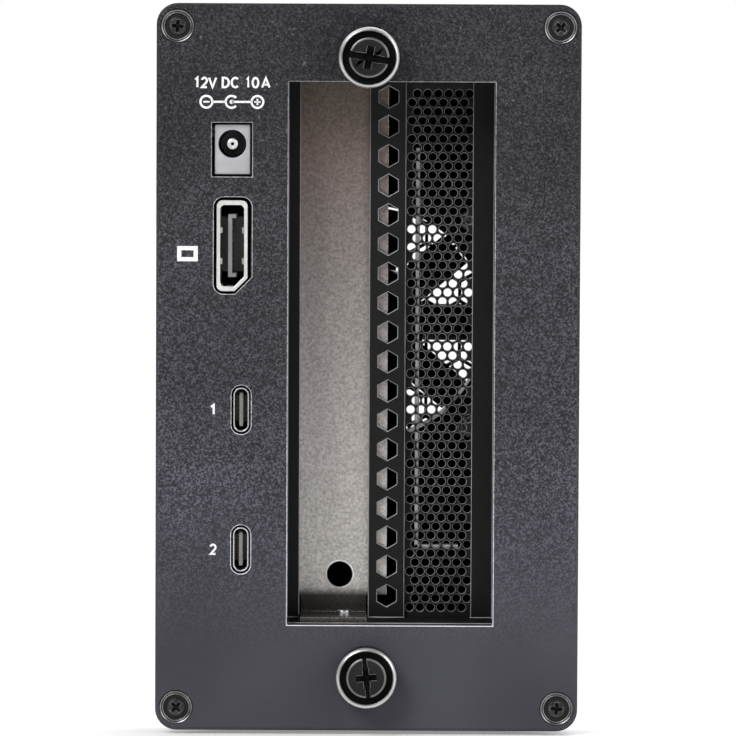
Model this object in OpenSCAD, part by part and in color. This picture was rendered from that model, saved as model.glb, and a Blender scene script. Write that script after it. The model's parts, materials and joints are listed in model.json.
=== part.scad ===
// Compact upright expansion box for one add-in card, lengths in millimetres.
// An aluminium sleeve with a bolted rear panel holds a sheet steel tray, which carries the
// boards, the card slot, the fan and the front bezel, and slides out forwards.
// The rear face looks towards -Y, +Z is up, and the origin is the middle of the footprint.

/* [Case] */
// Width of the case
body_w = 85; // [80:1:100]
// Height of the case
body_h = 146; // [140:1:160]
// Depth from the rear face to the front of the bezel
body_d = 231; // [225:1:260]
// Corner radius seen from the rear
corner_r = 4.3; // [3:0.1:6]
// Chamfer round the rear panel and the bezel
edge_chamfer = 0.6; // [0.3:0.1:1]
// Wall of the extruded sleeve
sleeve_wall = 2.5; // [2:0.1:3]
// Thickness of the rear panel
rear_t = 3; // [2.5:0.1:4]
// Thickness of the front bezel
bezel_t = 4; // [3.5:0.1:6]
// Height of the rubber feet
foot_h = 0.8; // [0.5:0.1:3]
// Diameter of the rubber feet
foot_d = 9; // [6:0.5:12]

/* [Rear openings] */
// Width of the slot opening
slot_w = 41.4; // [40:0.2:43]
// Space above the slot opening
slot_top_gap = 15.6; // [15:0.1:16]
// Space below the slot opening
slot_low_gap = 21.3; // [21:0.1:22]
// Offset of the slot opening to the right
slot_x = 4.65; // [4:0.05:5]
// Width and height of the power cutout
jack_cut = [8.1, 10.8];
// Place across of the power cutout
jack_cut_x = -27.35; // [-27.5:0.05:-27.1]
// Distance of the power cutout from the top
jack_from_top = 29.25; // [28:0.05:30]
// Width and height of the display cutout
display_cut = [7.65, 19.4];
// Corner radius of the display cutout
display_cut_r = 2; // [1:0.1:2.5]
// Cut lower right corner of the display cutout
display_cut_corner = 3.4; // [3:0.1:3.5]
// Place across of the display cutout
display_cut_x = -27.15; // [-27.3:0.05:-27]
// Distance of the display cutout from the top
display_from_top = 48.45; // [48:0.05:50]
// Width and height of a data port cutout
data_cut = [3.9, 9.8];
// Place across of the data ports
data_x = -25.35; // [-25.6:0.05:-25.3]
// Distance of the lower data port from the bottom
data_from_low = 36.5; // [30:0.5:40]

/* [Sheet metal] */
// Thickness of the tray and frame sheets
sheet_t = 1.2; // [1:0.1:1.5]
// Thickness of the slot covers
cover_t = 0.9; // [0.8:0.1:1]
// Depth of the card pocket behind the rear face
pocket_d = 14; // [13.5:0.1:16]
// Width of the strip left of the card window
left_strip = 2.3; // [2:0.1:2.5]
// Width of the card window
card_window_w = 14; // [13.6:0.1:14.2]
// Width of the strip with hexagonal holes
hex_strip_w = 7.4; // [7:0.1:8]
// Width of the vent window
vent_window_w = 13.5; // [12:0.1:14]
// Height of a hexagonal hole over its points
hex_hole = 4.5; // [3:0.1:5]
// Distance between hexagonal holes
hex_pitch = 5.97; // [5.5:0.01:7]
// Diameter of the vent cover's holes
mesh_hole = 1.62; // [1:0.02:1.8]
// Distance between the vent cover's holes in a row
mesh_pitch = 2.12; // [2:0.02:3]
// Holes in a row of the vent cover
mesh_columns = 6; // [3:1:6]

/* [Card] */
// Width of a card bracket
bracket_w = 18.42; // [18.2:0.02:18.6]
// Reach of a card bracket above the slot opening
bracket_over = 10.9; // [10:0.1:11]
// Length of the bracket's tab
tab_l = 11.43; // [11:0.01:12]
// Length of the card slot
card_slot_l = 89; // [60:1:100]
// Width of the card slot
card_slot_w = 7.5; // [7:0.1:9]
// Height of the card slot
card_slot_h = 11.25; // [10:0.05:12]

/* [Screws] */
// Diameter of the small screws
screw_d = 3; // [2.5:0.1:3.2]
// Diameter of the thumbscrews' threads
thumb_d = 4; // [3.5:0.1:4.5]
// Diameter of the thumbscrews' knobs
knob_d = 12.2; // [11:0.1:13]
// Length that a knob and its washer stand out
head_out = 6; // [5:0.1:8]
// Distance of the upper thumbscrew from the top
thumb_top_inset = 10.8; // [10:0.1:10.8]
// Distance of the lower thumbscrew from the bottom
thumb_low_inset = 11.3; // [10:0.1:12]

/* [Fan] */
// Space at each side of the fan
fan_side_gap = 12.5; // [12.5:0.5:14]
// Thickness of the fan
fan_t = 15; // [14:0.5:20]
// Number of blades
blades = 9; // [5:1:11]

/* [Hidden] */
$fn = 64;

// Clearances
cut = 1;
play = 0.05;
seat = 0.2;
frame_gap = 0.3;

// Case
half_w = body_w / 2;
half_h = body_h / 2;
face_y = -(body_d - head_out) / 2;
mid_z = foot_h + half_h;
bezel_y = body_d - bezel_t;
in_x = half_w - sleeve_wall;
in_z = half_h - sleeve_wall;
corner_inset_x = 4.2;
corner_inset_z = 4.6;
boss_r = 3.7;
rail_w = 2;
rail_h = 1;
rail_xs = [-12, 28];
foot_inset = 12;
foot_side = 12.5;
foot_x = half_w - foot_side;
thumb_zs = [half_h - thumb_top_inset, thumb_low_inset - half_h];

// Corner screws
corner_head_d = 6.6;
corner_sink_d = 7.1;
corner_head_h = 1.9;
corner_screw_l = 12;
drive_w = 0.9;
drive_l = 3.2;
drive_depth = 1.2;
tap_spare = 2;

// Card pocket behind the slot opening
slot_h = body_h - slot_top_gap - slot_low_gap;
slot_z = (slot_low_gap - slot_top_gap) / 2;
pocket_margin = 0.2;
pocket_x = [slot_x - slot_w / 2 - pocket_margin, slot_x + slot_w / 2 + pocket_margin];
pocket_z = [slot_z - slot_h / 2 + pocket_margin, slot_z + slot_h / 2 + pocket_margin];
card_window_x = pocket_x[0] + pocket_margin + left_strip;
hex_strip_x = card_window_x + card_window_w;
vent_window_x = hex_strip_x + hex_strip_w;
frame_y = rear_t + frame_gap;
frame_side_gap = 6;
frame_end_gap = 3.7;
frame_edge_x = in_x - frame_side_gap;
frame_half_h = in_z - frame_end_gap;
wall_y = pocket_d + sheet_t;
hex_shift_up = 0.85;
hex_shift_in = 3.8;
hex_end_gap = 5;
hex_count = floor((slot_h - hex_end_gap) / hex_pitch) + 1;
hex_low_z = slot_z - (hex_count - 1) * hex_pitch / 2 + hex_shift_up;
hex_x = hex_strip_x + hex_shift_in;

// Tray
part_x = pocket_x[0] - sheet_t;
part_y = [frame_y, bezel_y - sheet_t];
tray_half_h = in_z - rail_h - seat;
tray_flange_w = 10;
ceiling_y = 20;
fan_notch = 1;
fan_wall_gap = 5.8;
fan_wall_x = in_x - fan_wall_gap;

// Slot cover and its tab
cover_left_gap = 0.6;
cover_x = card_window_x - cover_left_gap;
tab_w = 13.4;
jog_z = [4.5, 1.7];
jog_out = 1.4;
tongue_w = 10.2;
tongue_l = 7;
cover_hole_d = 5.2;
cover_hole_in = 8.2;
cover_hole_up = 8.7;
cover_hole_at = [card_window_x + cover_hole_in, pocket_z[0] + cover_hole_up];
cover_screw_in = 9.1;
cover_screw_x = card_window_x + cover_screw_in;
cover_screw_tip = 1;
tab_y = wall_y + cover_t - tab_l;
tab_screw_y = tab_y + tab_l / 2;
cover_top_z = pocket_z[1] + bracket_over;

// Vent cover
vent_lap = [1.3, 2.3];
vent_cover_x = [vent_window_x - vent_lap[0], vent_window_x + vent_window_w + vent_lap[1]];
vent_overlap_z = 3.4;
mesh_edge = 0.3;
mesh_end_gap = 3.4;
mesh_row_pitch = mesh_pitch * sin(60);
mesh_rows = floor((slot_h - mesh_end_gap) / mesh_row_pitch) + 1;
rib_w = 0.9;
rib_d = 1.1;
rib_in = [1.95, 2.5];
rib_end_gap = [14, 13];
rib_x = [vent_window_x + rib_in[0], vent_window_x + vent_window_w - rib_in[1]];
rib_z = [pocket_z[0] + rib_end_gap[0], pocket_z[1] - rib_end_gap[1]];

// Small screw heads, nuts and holes
head_d = 5.5;
head_h = 1.8;
nut_d = 6.6;
nut_h = 3;
nut_neck_d = 5.4;
bush_d = 7;
thumb_tip = 3.7;
washer_t = 0.8;
washer_d = 9;
knob_rim_d = 10.7;
knob_recess = 1.2;
knob_cap_d = 7.9;
knob_slot_w = 1.1;
knob_slot_depth = 0.9;
knob_slot_share = 0.8;
top_turn = 0;
bottom_turn = 35;

// Fan
fan_w = body_w - 2 * fan_side_gap;
fan_rim = 1.5;
fan_bore_d = fan_w - 2 * fan_rim;
fan_corner_r = 3;
fan_hole_pitch = fan_w * 5 / 6;
fan_hole_d = 4.2;
fan_y = bezel_y - sheet_t - fan_t;
fan_hub_d = 28;
strut_w = 2.4;
strut_t = 3;
rotor_gap = 0.5;
tip_gap = 0.6;
blade_t = 1.2;
blade_chord = 11;
blade_tilt = 35;
blade_start = 40;
fan_shaft_d = 3;

// Front bezel
grille_side = 11.5;
grille_end = 10;
grille_w = body_w - 2 * grille_side;
grille_h = body_h - 2 * grille_end;
grille_hex = 7.4;
grille_web = 0.8;
grille_pitch = grille_hex + grille_web;
row_shift = 1 / 4;
bezel_screw_inset = 2.4;
bezel_screw_drop = 13;
bezel_screw_at = [fan_wall_x - bezel_screw_inset, half_h - bezel_screw_drop];
bezel_screw_depth = 3;
pipe_d = 3;
pipe_up = 25;
pipe_at = [bezel_screw_at[0], pipe_up - half_h];
led_gap = 2.6;
led_board_size = [7, 9];
led_board_t = 1;
led_post_d = 2;

// Main board
board_x = -23.7;
board_t = 1.6;
board_rear_gap = 0.6;
board_front_gap = 67;
board_top_gap = 5.7;
board_low_gap = 8.5;
board_y = [rear_t + board_rear_gap, bezel_y - board_front_gap];
board_z = [board_low_gap - in_z, in_z - board_top_gap];
board_hole_in = [12.4, 10];
board_hole_up = 5;
board_hole_below = 14.5;
standoff_d = 5.2;
tap_l = 2.4;

// Power inlet
jack_cut_at = [jack_cut_x, half_h - jack_from_top];
jack_front = 1;
jack_l = 14;
jack_size = [7.13, 10];
jack_at = [board_x - jack_size[0] / 2, jack_cut_at[1] + play];
jack_bore_d = 5.5;
jack_bore_x = -27.3;
jack_bore_up = 1.1;
jack_bore_at = [jack_bore_x, jack_at[1] + jack_bore_up];
jack_bore_depth = 10;
jack_pin_d = 2.3;
jack_pin_set = 0.6;

// Display socket
display_cut_at = [display_cut_x, half_h - display_from_top];
display_front = 0.6;
display_l = 16;
display_out = [6.3, 18.3];
display_in = [4.76, 16.3];
display_x = -27.3;
display_at = [display_x, display_cut_at[1] - play];
display_corner = 2.6;
display_round = 1.2;
display_tongue_t = 0.8;
display_tongue_h = 12.6;
display_hook = 1.6;
display_back = 4;
tongue_set = 0.9;

// Data ports
data_high_share = 0.115;
data_zs = [-data_high_share * half_h, data_from_low - half_h];
data_front = 0.5;
data_l = 8;
data_out = [3.2, 9];
data_in = [2.56, 8.34];
data_tongue_t = 0.7;
data_tongue_h = 6.7;
data_back = 2;
data_back_share = 0.8;

// Chips, heat sink, coils and capacitors
chip_size = [15, 15];
chip_t = 1.2;
chip_at = [62, -18];
sink_size = [44, 40];
sink_base = 3;
sink_side_gap = 4.1;
sink_fin_h = in_x + board_x - chip_t - sink_base - sink_side_gap;
sink_fin_t = 1;
sink_fins = 9;
sink_fin_inset = 5;
pin_inset = [2.5, 4];
pin_at = [sink_size[0] / 2 - pin_inset[0], sink_size[1] / 2 - pin_inset[1]];
pin_head_d = 5;
small_chip_size = [7, 7];
small_chip_t = 0.9;
small_chip_places = [[24, -10], [24, -38], [112, -20], [110, 34]];
coil_size = 8;
coil_h = 4.2;
coil_y = 52;
coil_pitch = 13;
coil_count = 4;
coil_z = 38;
cap_d = 8;
cap_side_gap = 6.3;
cap_h = in_x + board_x - cap_side_gap;
cap_places = [[28, 48], [28, 38], [112, 48]];

// Slot board and card slot
card_slot_x = 1;
card_edge_gap = 4.5;
card_slot_y = 60;
slot_board_drop = 6.9;
slot_board_z = in_z - slot_board_drop;
slot_board_x = [-15, 20];
slot_board_over = [36, 16];
slot_board_y = [card_slot_y - slot_board_over[0], card_slot_y + card_slot_l + slot_board_over[1]];
slot_hole_in = [3.5, 5];
groove_w = 1.7;
groove_depth = 8;
groove_wall = 2;
key_y = 12;
key_t = 2;
contact_count = 32;
contact_t = 0.25;
contact_w = 0.7;
contact_h = 6;
link_h = 5.6;
link_in = 4;
link_l = 62;
link_y = [card_slot_y + link_in, card_slot_y + link_in + link_l];
link_x = -8;
link_gap = 0.4;
card_slot_end = card_slot_y + card_slot_l;
card_slot_low = slot_board_z - card_slot_h;
groove_x = [card_slot_x - groove_w / 2, card_slot_x + groove_w / 2];
groove_z = [card_slot_low - cut, card_slot_low + groove_depth];

// Card latch
ear_l = 5;
ear_t = 1.1;
ear_h = [3, 11];
latch_y = 2.6;
latch_w = 4.8;
latch_t = 3;
latch_h = 9;
latch_up = 2;
latch_z = 6;
latch_pin_d = 1.6;
latch_hook = 2.2;
latch_hook_t = 1.2;
pivot_y = card_slot_end + latch_y;
pivot_z = card_slot_low + latch_z;

// Fan lead
header_in = 32;
header_y = board_y[1] - header_in;
header_l = 6;
header_h = 8;
header_z = -16;
lead_x = -26.2;
plug_x = [board_x - 2 * (board_x - lead_x), board_x];
plug_l = 8;
wire_d = 1.2;
wire_pitch = 1.8;
wire_shift = 1.3;
wire_bend_in = 2;
wire_bend_l = 24;
wire_bend_y = [board_y[1] - wire_bend_in, board_y[1] - wire_bend_in + wire_bend_l];
wire_rings = 12;
wire_sides = 8;
clip_back = 14.8;
clip_y = fan_y - clip_back;
clip_l = 6;
clip_wall = 1.2;
clip_gap = 0.3;

// Moves a part drawn from the middle of the rear face to its place
module in_case() {
    translate([0, face_y, mid_z]) children();
}

// A block between two places along each axis
module block(x, y, z) {
    translate([x[0], y[0], z[0]]) cube([x[1] - x[0], y[1] - y[0], z[1] - z[0]]);
}

// A plate seen from the rear, from depth y over thickness t
module plate(y, t) {
    translate([0, y + t, 0]) rotate([90, 0, 0]) linear_extrude(t) children();
}

module rod_x(x, y, z, d) {
    translate([x[0], y, z]) rotate([0, 90, 0]) cylinder(h = x[1] - x[0], d = d);
}

module rod_y(x, y, z, d) {
    translate([x, y[0], z]) rotate([-90, 0, 0]) cylinder(h = y[1] - y[0], d = d);
}

module rod_z(x, y, z, d) {
    translate([x, y, z[0]]) cylinder(h = z[1] - z[0], d = d);
}

module rounded(w, h, r) {
    for (sx = [-1, 1], sz = [-1, 1]) translate([sx * (w / 2 - r), sz * (h / 2 - r)]) circle(r);
    square([w - 2 * r, h], center = true);
    square([w, h - 2 * r], center = true);
}

// A slab with its chamfer towards the viewer at depth 0
module chamfered_slab(t) {
    c = edge_chamfer;
    w = body_w;
    h = body_h;
    r = corner_r;
    for (sx = [-1, 1], sz = [-1, 1])
        translate([sx * (w / 2 - r), c, sz * (h / 2 - r)])
            rotate([90, 0, 0]) cylinder(h = c, r1 = r, r2 = r - c);
    translate([r - w / 2, 0, 0]) rotate([90, 0, 90]) linear_extrude(w - 2 * r)
        polygon([[0, c - h / 2], [c, -h / 2], [c, h / 2], [0, h / 2 - c]]);
    translate([0, 0, r - h / 2]) linear_extrude(h - 2 * r)
        polygon([[c - w / 2, 0], [-w / 2, c], [w / 2, c], [w / 2 - c, 0]]);
    plate(c, t - c) rounded(w, h, r);
}

module at_corner_screws() {
    for (sx = [-1, 1], sz = [-1, 1])
        translate([sx * (half_w - corner_inset_x), 0, sz * (half_h - corner_inset_z)]) children();
}

module outer_sleeve() {
    color([0.27, 0.27, 0.29]) in_case() difference() {
        plate(rear_t, bezel_y - seat - rear_t) difference() {
            rounded(body_w, body_h, corner_r);
            difference() {
                rounded(2 * in_x, 2 * in_z, corner_r - sleeve_wall);
                for (sx = [-1, 1], sz = [-1, 1])
                    translate([sx * (half_w - corner_inset_x), sz * (half_h - corner_inset_z)])
                        circle(boss_r);
                for (x = rail_xs, sz = [-1, 1])
                    translate([x, sz * (in_z - rail_h / 2)]) square([rail_w, rail_h], center = true);
            }
        }
        at_corner_screws()
            rod_y(0, [rear_t - cut, corner_screw_l + tap_spare], 0, screw_d + 2 * play);
    }
}

module display_cutout() {
    difference() {
        rounded(display_cut[0], display_cut[1], display_cut_r);
        translate([display_cut[0] / 2, -display_cut[1] / 2]) rotate(45)
            square(display_cut_corner * sqrt(2), center = true);
    }
}

module rear_panel() {
    color([0.27, 0.27, 0.29]) in_case() difference() {
        chamfered_slab(rear_t);
        block([slot_x - slot_w / 2, slot_x + slot_w / 2], [-cut, rear_t + cut],
            [slot_z - slot_h / 2, slot_z + slot_h / 2]);
        plate(-cut, rear_t + 2 * cut) {
            translate(jack_cut_at) square(jack_cut, center = true);
            translate(display_cut_at) display_cutout();
            for (z = data_zs)
                translate([data_x, z]) rounded(data_cut[0], data_cut[1], data_cut[0] / 2 - play);
        }
        for (z = thumb_zs) rod_y(0, [-cut, rear_t + cut], z, bush_d + 2 * play);
        at_corner_screws() {
            rod_y(0, [-cut, rear_t + cut], 0, screw_d + 2 * play);
            rotate([-90, 0, 0]) cylinder(h = corner_head_h, d1 = corner_sink_d,
                d2 = screw_d + 2 * play);
        }
    }
}

module panel_bushes() {
    color([0.2, 0.2, 0.21]) in_case() for (z = thumb_zs) difference() {
        rod_y(0, [0, rear_t], z, bush_d);
        rod_y(0, [-cut, rear_t + cut], z, thumb_d + 4 * play);
    }
}

module cross_drive(l, w, depth) {
    for (turn = [0, 90])
        rotate([0, turn, 0]) translate([-l / 2, -cut, -w / 2]) cube([l, depth + cut, w]);
}

module corner_screws() {
    color([0.25, 0.25, 0.27]) in_case() at_corner_screws() difference() {
        union() {
            rotate([-90, 0, 0]) cylinder(h = corner_head_h - play, d1 = corner_head_d, d2 = screw_d);
            rod_y(0, [0, corner_screw_l], 0, screw_d);
        }
        cross_drive(drive_l, drive_w, drive_depth);
    }
}

module rubber_feet() {
    color([0.1, 0.1, 0.1]) in_case()
        for (x = [-foot_x, foot_x], y = [foot_inset, body_d - foot_inset - bezel_t])
            rod_z(x, y, [-half_h - foot_h, -half_h], foot_d);
}

// A knurled knob with a slotted cap, on its threaded shank
module thumbscrew(turn) {
    difference() {
        union() {
            rod_y(0, [-head_out, -washer_t], 0, knob_d);
            rod_y(0, [-washer_t - cut, frame_y + thumb_tip], 0, thumb_d);
        }
        difference() {
            rod_y(0, [-head_out - cut, knob_recess - head_out], 0, knob_rim_d);
            rod_y(0, [-head_out - 2 * cut, knob_recess - head_out + cut], 0, knob_cap_d);
        }
        translate([0, -head_out, 0]) rotate([0, turn, 0])
            cross_drive(knob_cap_d * knob_slot_share, knob_slot_w, knob_slot_depth);
    }
}

module thumbscrew_top() {
    color([0.15, 0.15, 0.16]) in_case() translate([0, 0, thumb_zs[0]]) thumbscrew(top_turn);
}

module thumbscrew_bottom() {
    color([0.15, 0.15, 0.16]) in_case() translate([0, 0, thumb_zs[1]]) thumbscrew(bottom_turn);
}

module thumb_washer() {
    difference() {
        rod_y(0, [-washer_t, 0], 0, washer_d);
        rod_y(0, [-washer_t - cut, cut], 0, thumb_d + 2 * play);
    }
}

module thumbscrew_top_washer() {
    color("dimgray") in_case() translate([0, 0, thumb_zs[0]]) thumb_washer();
}

module thumbscrew_bottom_washer() {
    color("dimgray") in_case() translate([0, 0, thumb_zs[1]]) thumb_washer();
}

module inner_tray() {
    color([0.13, 0.13, 0.14]) in_case() {
        difference() {
            block([part_x - sheet_t, part_x], part_y, [-tray_half_h, tray_half_h]);
            block([part_x - sheet_t - cut, part_x + cut], [fan_y - fan_notch - head_h, part_y[1] + cut],
                [-fan_w / 2 - fan_notch, fan_w / 2 + fan_notch]);
            block([part_x - sheet_t - cut, part_x + cut],
                [link_y[0] - link_gap, link_y[1] + link_gap],
                [slot_board_z - link_h - link_gap, slot_board_z + link_gap]);
        }
        block([part_x - sheet_t, frame_edge_x], [ceiling_y, part_y[1]],
            [tray_half_h - sheet_t, tray_half_h]);
        block([part_x - sheet_t, part_x + tray_flange_w], part_y,
            [-tray_half_h, sheet_t - tray_half_h]);
    }
}

module rear_frame() {
    s = sheet_t;
    color([0.13, 0.13, 0.14]) in_case() difference() {
        union() {
            difference() {
                block([pocket_x[0] - s, frame_edge_x], [frame_y, frame_y + s],
                    [-frame_half_h, frame_half_h]);
                block(pocket_x, [frame_y - cut, frame_y + s + cut], pocket_z);
            }
            difference() {
                block([pocket_x[0] - s, pocket_x[1] + s], [frame_y, wall_y],
                    [pocket_z[0] - s, pocket_z[1] + s]);
                block(pocket_x, [frame_y - cut, pocket_d], pocket_z);
                block([card_window_x, hex_strip_x], [pocket_d - cut, wall_y + cut], pocket_z);
                block([vent_window_x, vent_window_x + vent_window_w],
                    [pocket_d - cut, wall_y + cut], pocket_z);
            }
        }
        for (i = [0 : hex_count - 1])
            translate([hex_x, wall_y + cut, hex_low_z + i * hex_pitch]) rotate([90, 0, 0])
                rotate([0, 0, 90]) cylinder(h = sheet_t + 2 * cut, d = hex_hole, $fn = 6);
        for (z = thumb_zs)
            rod_y(0, [frame_y - cut, frame_y + s + cut], z, nut_neck_d + 2 * play);
        rod_z(cover_screw_x, tab_screw_y, [pocket_z[0] - s - cut, pocket_z[0] + cut],
            screw_d + 2 * play);
    }
}

module press_nuts() {
    color("silver") in_case() for (z = thumb_zs) difference() {
        union() {
            rod_y(0, [frame_y, frame_y + sheet_t + cut], z, nut_neck_d);
            rod_y(0, [frame_y + sheet_t, frame_y + sheet_t + nut_h], z, nut_d);
        }
        rod_y(0, [frame_y - cut, frame_y + sheet_t + nut_h + cut], z, thumb_d + 2 * play);
    }
}

module vented_cover() {
    low_z = pocket_z[0] - vent_overlap_z;
    high_z = pocket_z[1] + vent_overlap_z;
    rows_h = (mesh_rows - 1) * mesh_row_pitch;
    color([0.12, 0.12, 0.13]) in_case() {
        plate(wall_y, cover_t) difference() {
            translate([vent_cover_x[0], low_z])
                square([vent_cover_x[1] - vent_cover_x[0], high_z - low_z]);
            for (row = [0 : mesh_rows - 1], column = [0 : mesh_columns - 1])
                translate([
                    vent_window_x + mesh_edge + mesh_hole / 2 + mesh_pitch * (column + (row % 2) / 2),
                    slot_z + row * mesh_row_pitch - rows_h / 2
                ]) circle(d = mesh_hole);
        }
        vent_rib();
    }
}

module vent_rib() {
    rib_y = [wall_y + cover_t, wall_y + cover_t + rib_d];
    block([rib_x[0], rib_x[0] + rib_w], rib_y, rib_z);
    block(rib_x, rib_y, [rib_z[0], rib_z[0] + rib_w]);
}

module slot_cover() {
    middle = cover_x + bracket_w / 2;
    jog_top = pocket_z[0] + jog_z[0];
    jog_low = pocket_z[0] + jog_z[1];
    back = wall_y + cover_t;
    color([0.62, 0.6, 0.58]) in_case() difference() {
        union() {
            block([cover_x, cover_x + bracket_w], [wall_y, back], [jog_top, cover_top_z - tongue_l]);
            block([middle - tongue_w / 2, middle + tongue_w / 2], [wall_y, back],
                [cover_top_z - tongue_l - cut, cover_top_z]);
            translate([card_window_x + (card_window_w - tab_w) / 2, 0, 0])
                rotate([90, 0, 90]) linear_extrude(tab_w) polygon([
                    [wall_y, jog_top],
                    [wall_y + jog_out, jog_low],
                    [wall_y + jog_out, pocket_z[0] + cover_t],
                    [tab_y, pocket_z[0] + cover_t],
                    [tab_y, pocket_z[0]],
                    [back + jog_out, pocket_z[0]],
                    [back + jog_out, jog_low],
                    [back, jog_top]
                ]);
        }
        rod_y(cover_hole_at[0], [wall_y - cut, back + cut], cover_hole_at[1], cover_hole_d);
        rod_z(cover_screw_x, tab_screw_y, [pocket_z[0] - cut, pocket_z[0] + cover_t + cut],
            screw_d + 2 * play);
    }
}

module slot_cover_screw() {
    under = pocket_z[0] - sheet_t;
    color("silver") in_case() difference() {
        union() {
            rod_z(cover_screw_x, tab_screw_y, [under - head_h, under], head_d);
            rod_z(cover_screw_x, tab_screw_y,
                [under - head_h, pocket_z[0] + cover_t + cover_screw_tip], screw_d);
        }
        translate([cover_screw_x, tab_screw_y, under - head_h]) rotate([90, 0, 0])
            rotate([0, 0, 180]) cross_from_below();
    }
}

module cross_from_below() {
    for (turn = [0, 90])
        rotate([0, turn, 0]) translate([-drive_l / 2, -drive_depth, -drive_w / 2])
            cube([drive_l, drive_depth + cut, drive_w]);
}

module at_fan_holes() {
    for (sx = [-1, 1], sz = [-1, 1])
        translate([sx * fan_hole_pitch / 2, 0, sz * fan_hole_pitch / 2]) children();
}

module at_bezel_screws() {
    for (sx = [-1, 1], sz = [-1, 1])
        translate([sx * bezel_screw_at[0], 0, sz * bezel_screw_at[1]]) children();
}

module fan_wall() {
    color([0.13, 0.13, 0.14]) in_case() difference() {
        block([-fan_wall_x, fan_wall_x], [bezel_y - sheet_t, bezel_y],
            [-tray_half_h, tray_half_h]);
        rod_y(0, [fan_y, bezel_y + cut], 0, fan_bore_d);
        at_fan_holes() rod_y(0, [fan_y, bezel_y + cut], 0, screw_d + 2 * play);
        at_bezel_screws() rod_y(0, [fan_y, bezel_y + cut], 0, screw_d + 2 * play);
        rod_y(pipe_at[0], [fan_y, bezel_y + cut], pipe_at[1], pipe_d + 2 * play);
    }
}

module fan_frame() {
    color([0.1, 0.1, 0.11]) in_case() difference() {
        union() {
            difference() {
                plate(fan_y, fan_t) rounded(fan_w, fan_w, fan_corner_r);
                rod_y(0, [fan_y - cut, fan_y + fan_t + cut], 0, fan_bore_d);
            }
            for (turn = [45, 135])
                rotate([0, turn, 0])
                    block([-fan_bore_d / 2 - cut, fan_bore_d / 2 + cut],
                        [fan_y + fan_t - strut_t, fan_y + fan_t], [-strut_w / 2, strut_w / 2]);
            rod_y(0, [fan_y + fan_t - strut_t, fan_y + fan_t], 0, fan_hub_d);
        }
        at_fan_holes() rod_y(0, [fan_y - cut, fan_y + fan_t + cut], 0, fan_hole_d);
        rod_y(0, [fan_y, fan_y + fan_t + cut], 0, fan_shaft_d + 2 * play);
    }
}

module fan_screws() {
    color("silver") in_case() at_fan_holes() difference() {
        union() {
            rod_y(0, [fan_y - head_h, fan_y], 0, head_d);
            rod_y(0, [fan_y - head_h, bezel_y], 0, screw_d);
        }
        translate([0, fan_y - head_h, 0]) cross_drive(drive_l, drive_w, drive_depth);
    }
}

module fan_rotor() {
    rotor_y = [fan_y + rotor_gap, fan_y + fan_t - strut_t - rotor_gap];
    middle_y = (rotor_y[0] + rotor_y[1]) / 2;
    color([0.12, 0.12, 0.13]) in_case() {
        rod_y(0, rotor_y, 0, fan_hub_d);
        rod_y(0, [rotor_y[0], fan_y + fan_t - play], 0, fan_shaft_d);
        intersection() {
            for (i = [0 : blades - 1])
                rotate([0, blade_start + i * 360 / blades, 0]) translate([0, middle_y, 0])
                    rotate([blade_tilt, 0, 0]) translate([0, -blade_t / 2, -blade_chord / 2])
                        cube([fan_w, blade_t, blade_chord]);
            difference() {
                rod_y(0, rotor_y, 0, fan_bore_d - 2 * tip_gap);
                rod_y(0, [rotor_y[0] - cut, rotor_y[1] + cut], 0, fan_hub_d - cut);
            }
        }
    }
}

// The hexagons that fit whole inside the grille's field
module grille_field() {
    up = grille_pitch * sin(60);
    columns = floor(grille_w / grille_pitch / 2);
    rows = floor(grille_h / up / 2);
    for (row = [-rows : rows], column = [-columns : columns])
        translate([grille_pitch * (column + abs(row % 2) / 2 - row_shift), up * row])
            rotate([0, 0, 90]) circle(d = grille_hex / cos(30), $fn = 6);
}

module front_bezel() {
    color([0.27, 0.27, 0.29]) in_case() difference() {
        translate([0, body_d, 0]) mirror([0, 1, 0]) chamfered_slab(bezel_t);
        plate(bezel_y - cut, bezel_t + 2 * cut) grille_field();
        at_bezel_screws()
            rod_y(0, [bezel_y - cut, bezel_y + bezel_screw_depth], 0, screw_d + 2 * play);
        rod_y(pipe_at[0], [bezel_y - cut, body_d + cut], pipe_at[1], pipe_d + 2 * play);
    }
}

module bezel_screws() {
    back = bezel_y - sheet_t;
    color("silver") in_case() at_bezel_screws() difference() {
        union() {
            rod_y(0, [back - head_h, back], 0, head_d);
            rod_y(0, [back - head_h, bezel_y + bezel_screw_depth], 0, screw_d);
        }
        translate([0, back - head_h, 0]) cross_drive(drive_l, drive_w, drive_depth);
    }
}

module light_pipe() {
    color([0.8, 0.85, 0.9]) in_case()
        rod_y(pipe_at[0], [bezel_y - sheet_t - led_gap, body_d], pipe_at[1], pipe_d);
}

module led_board() {
    back = bezel_y - sheet_t - led_gap;
    color([0.1, 0.3, 0.15]) in_case() {
        plate(back - led_board_t, led_board_t) translate(pipe_at)
            square([led_board_size[0] * 2 / 3, led_board_size[1]], center = true);
        for (sz = [-1, 1])
            rod_y(pipe_at[0], [back - led_board_t, back + led_gap],
                pipe_at[1] + sz * (led_board_size[1] / 2 - led_post_d / 2), led_post_d);
    }
}

module at_board_holes() {
    for (y = [board_y[0] + board_hole_in[0], board_y[1] - board_hole_in[1]],
         z = [board_z[0] + board_hole_up, display_at[1] - board_hole_below])
        translate([0, y, z]) children();
}

module at_sink_pins() {
    for (s = [-1, 1])
        translate([0, chip_at[0] + s * pin_at[0], chip_at[1] + s * pin_at[1]]) children();
}

module main_board() {
    back_x = board_x + board_t;
    color([0.08, 0.25, 0.14]) in_case() difference() {
        block([board_x, back_x], board_y, board_z);
        at_board_holes() rod_x([board_x - cut, back_x + cut], 0, 0, screw_d + 2 * play);
        at_sink_pins() rod_x([board_x - cut, back_x + cut], 0, 0, screw_d + 2 * play);
    }
}

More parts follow.
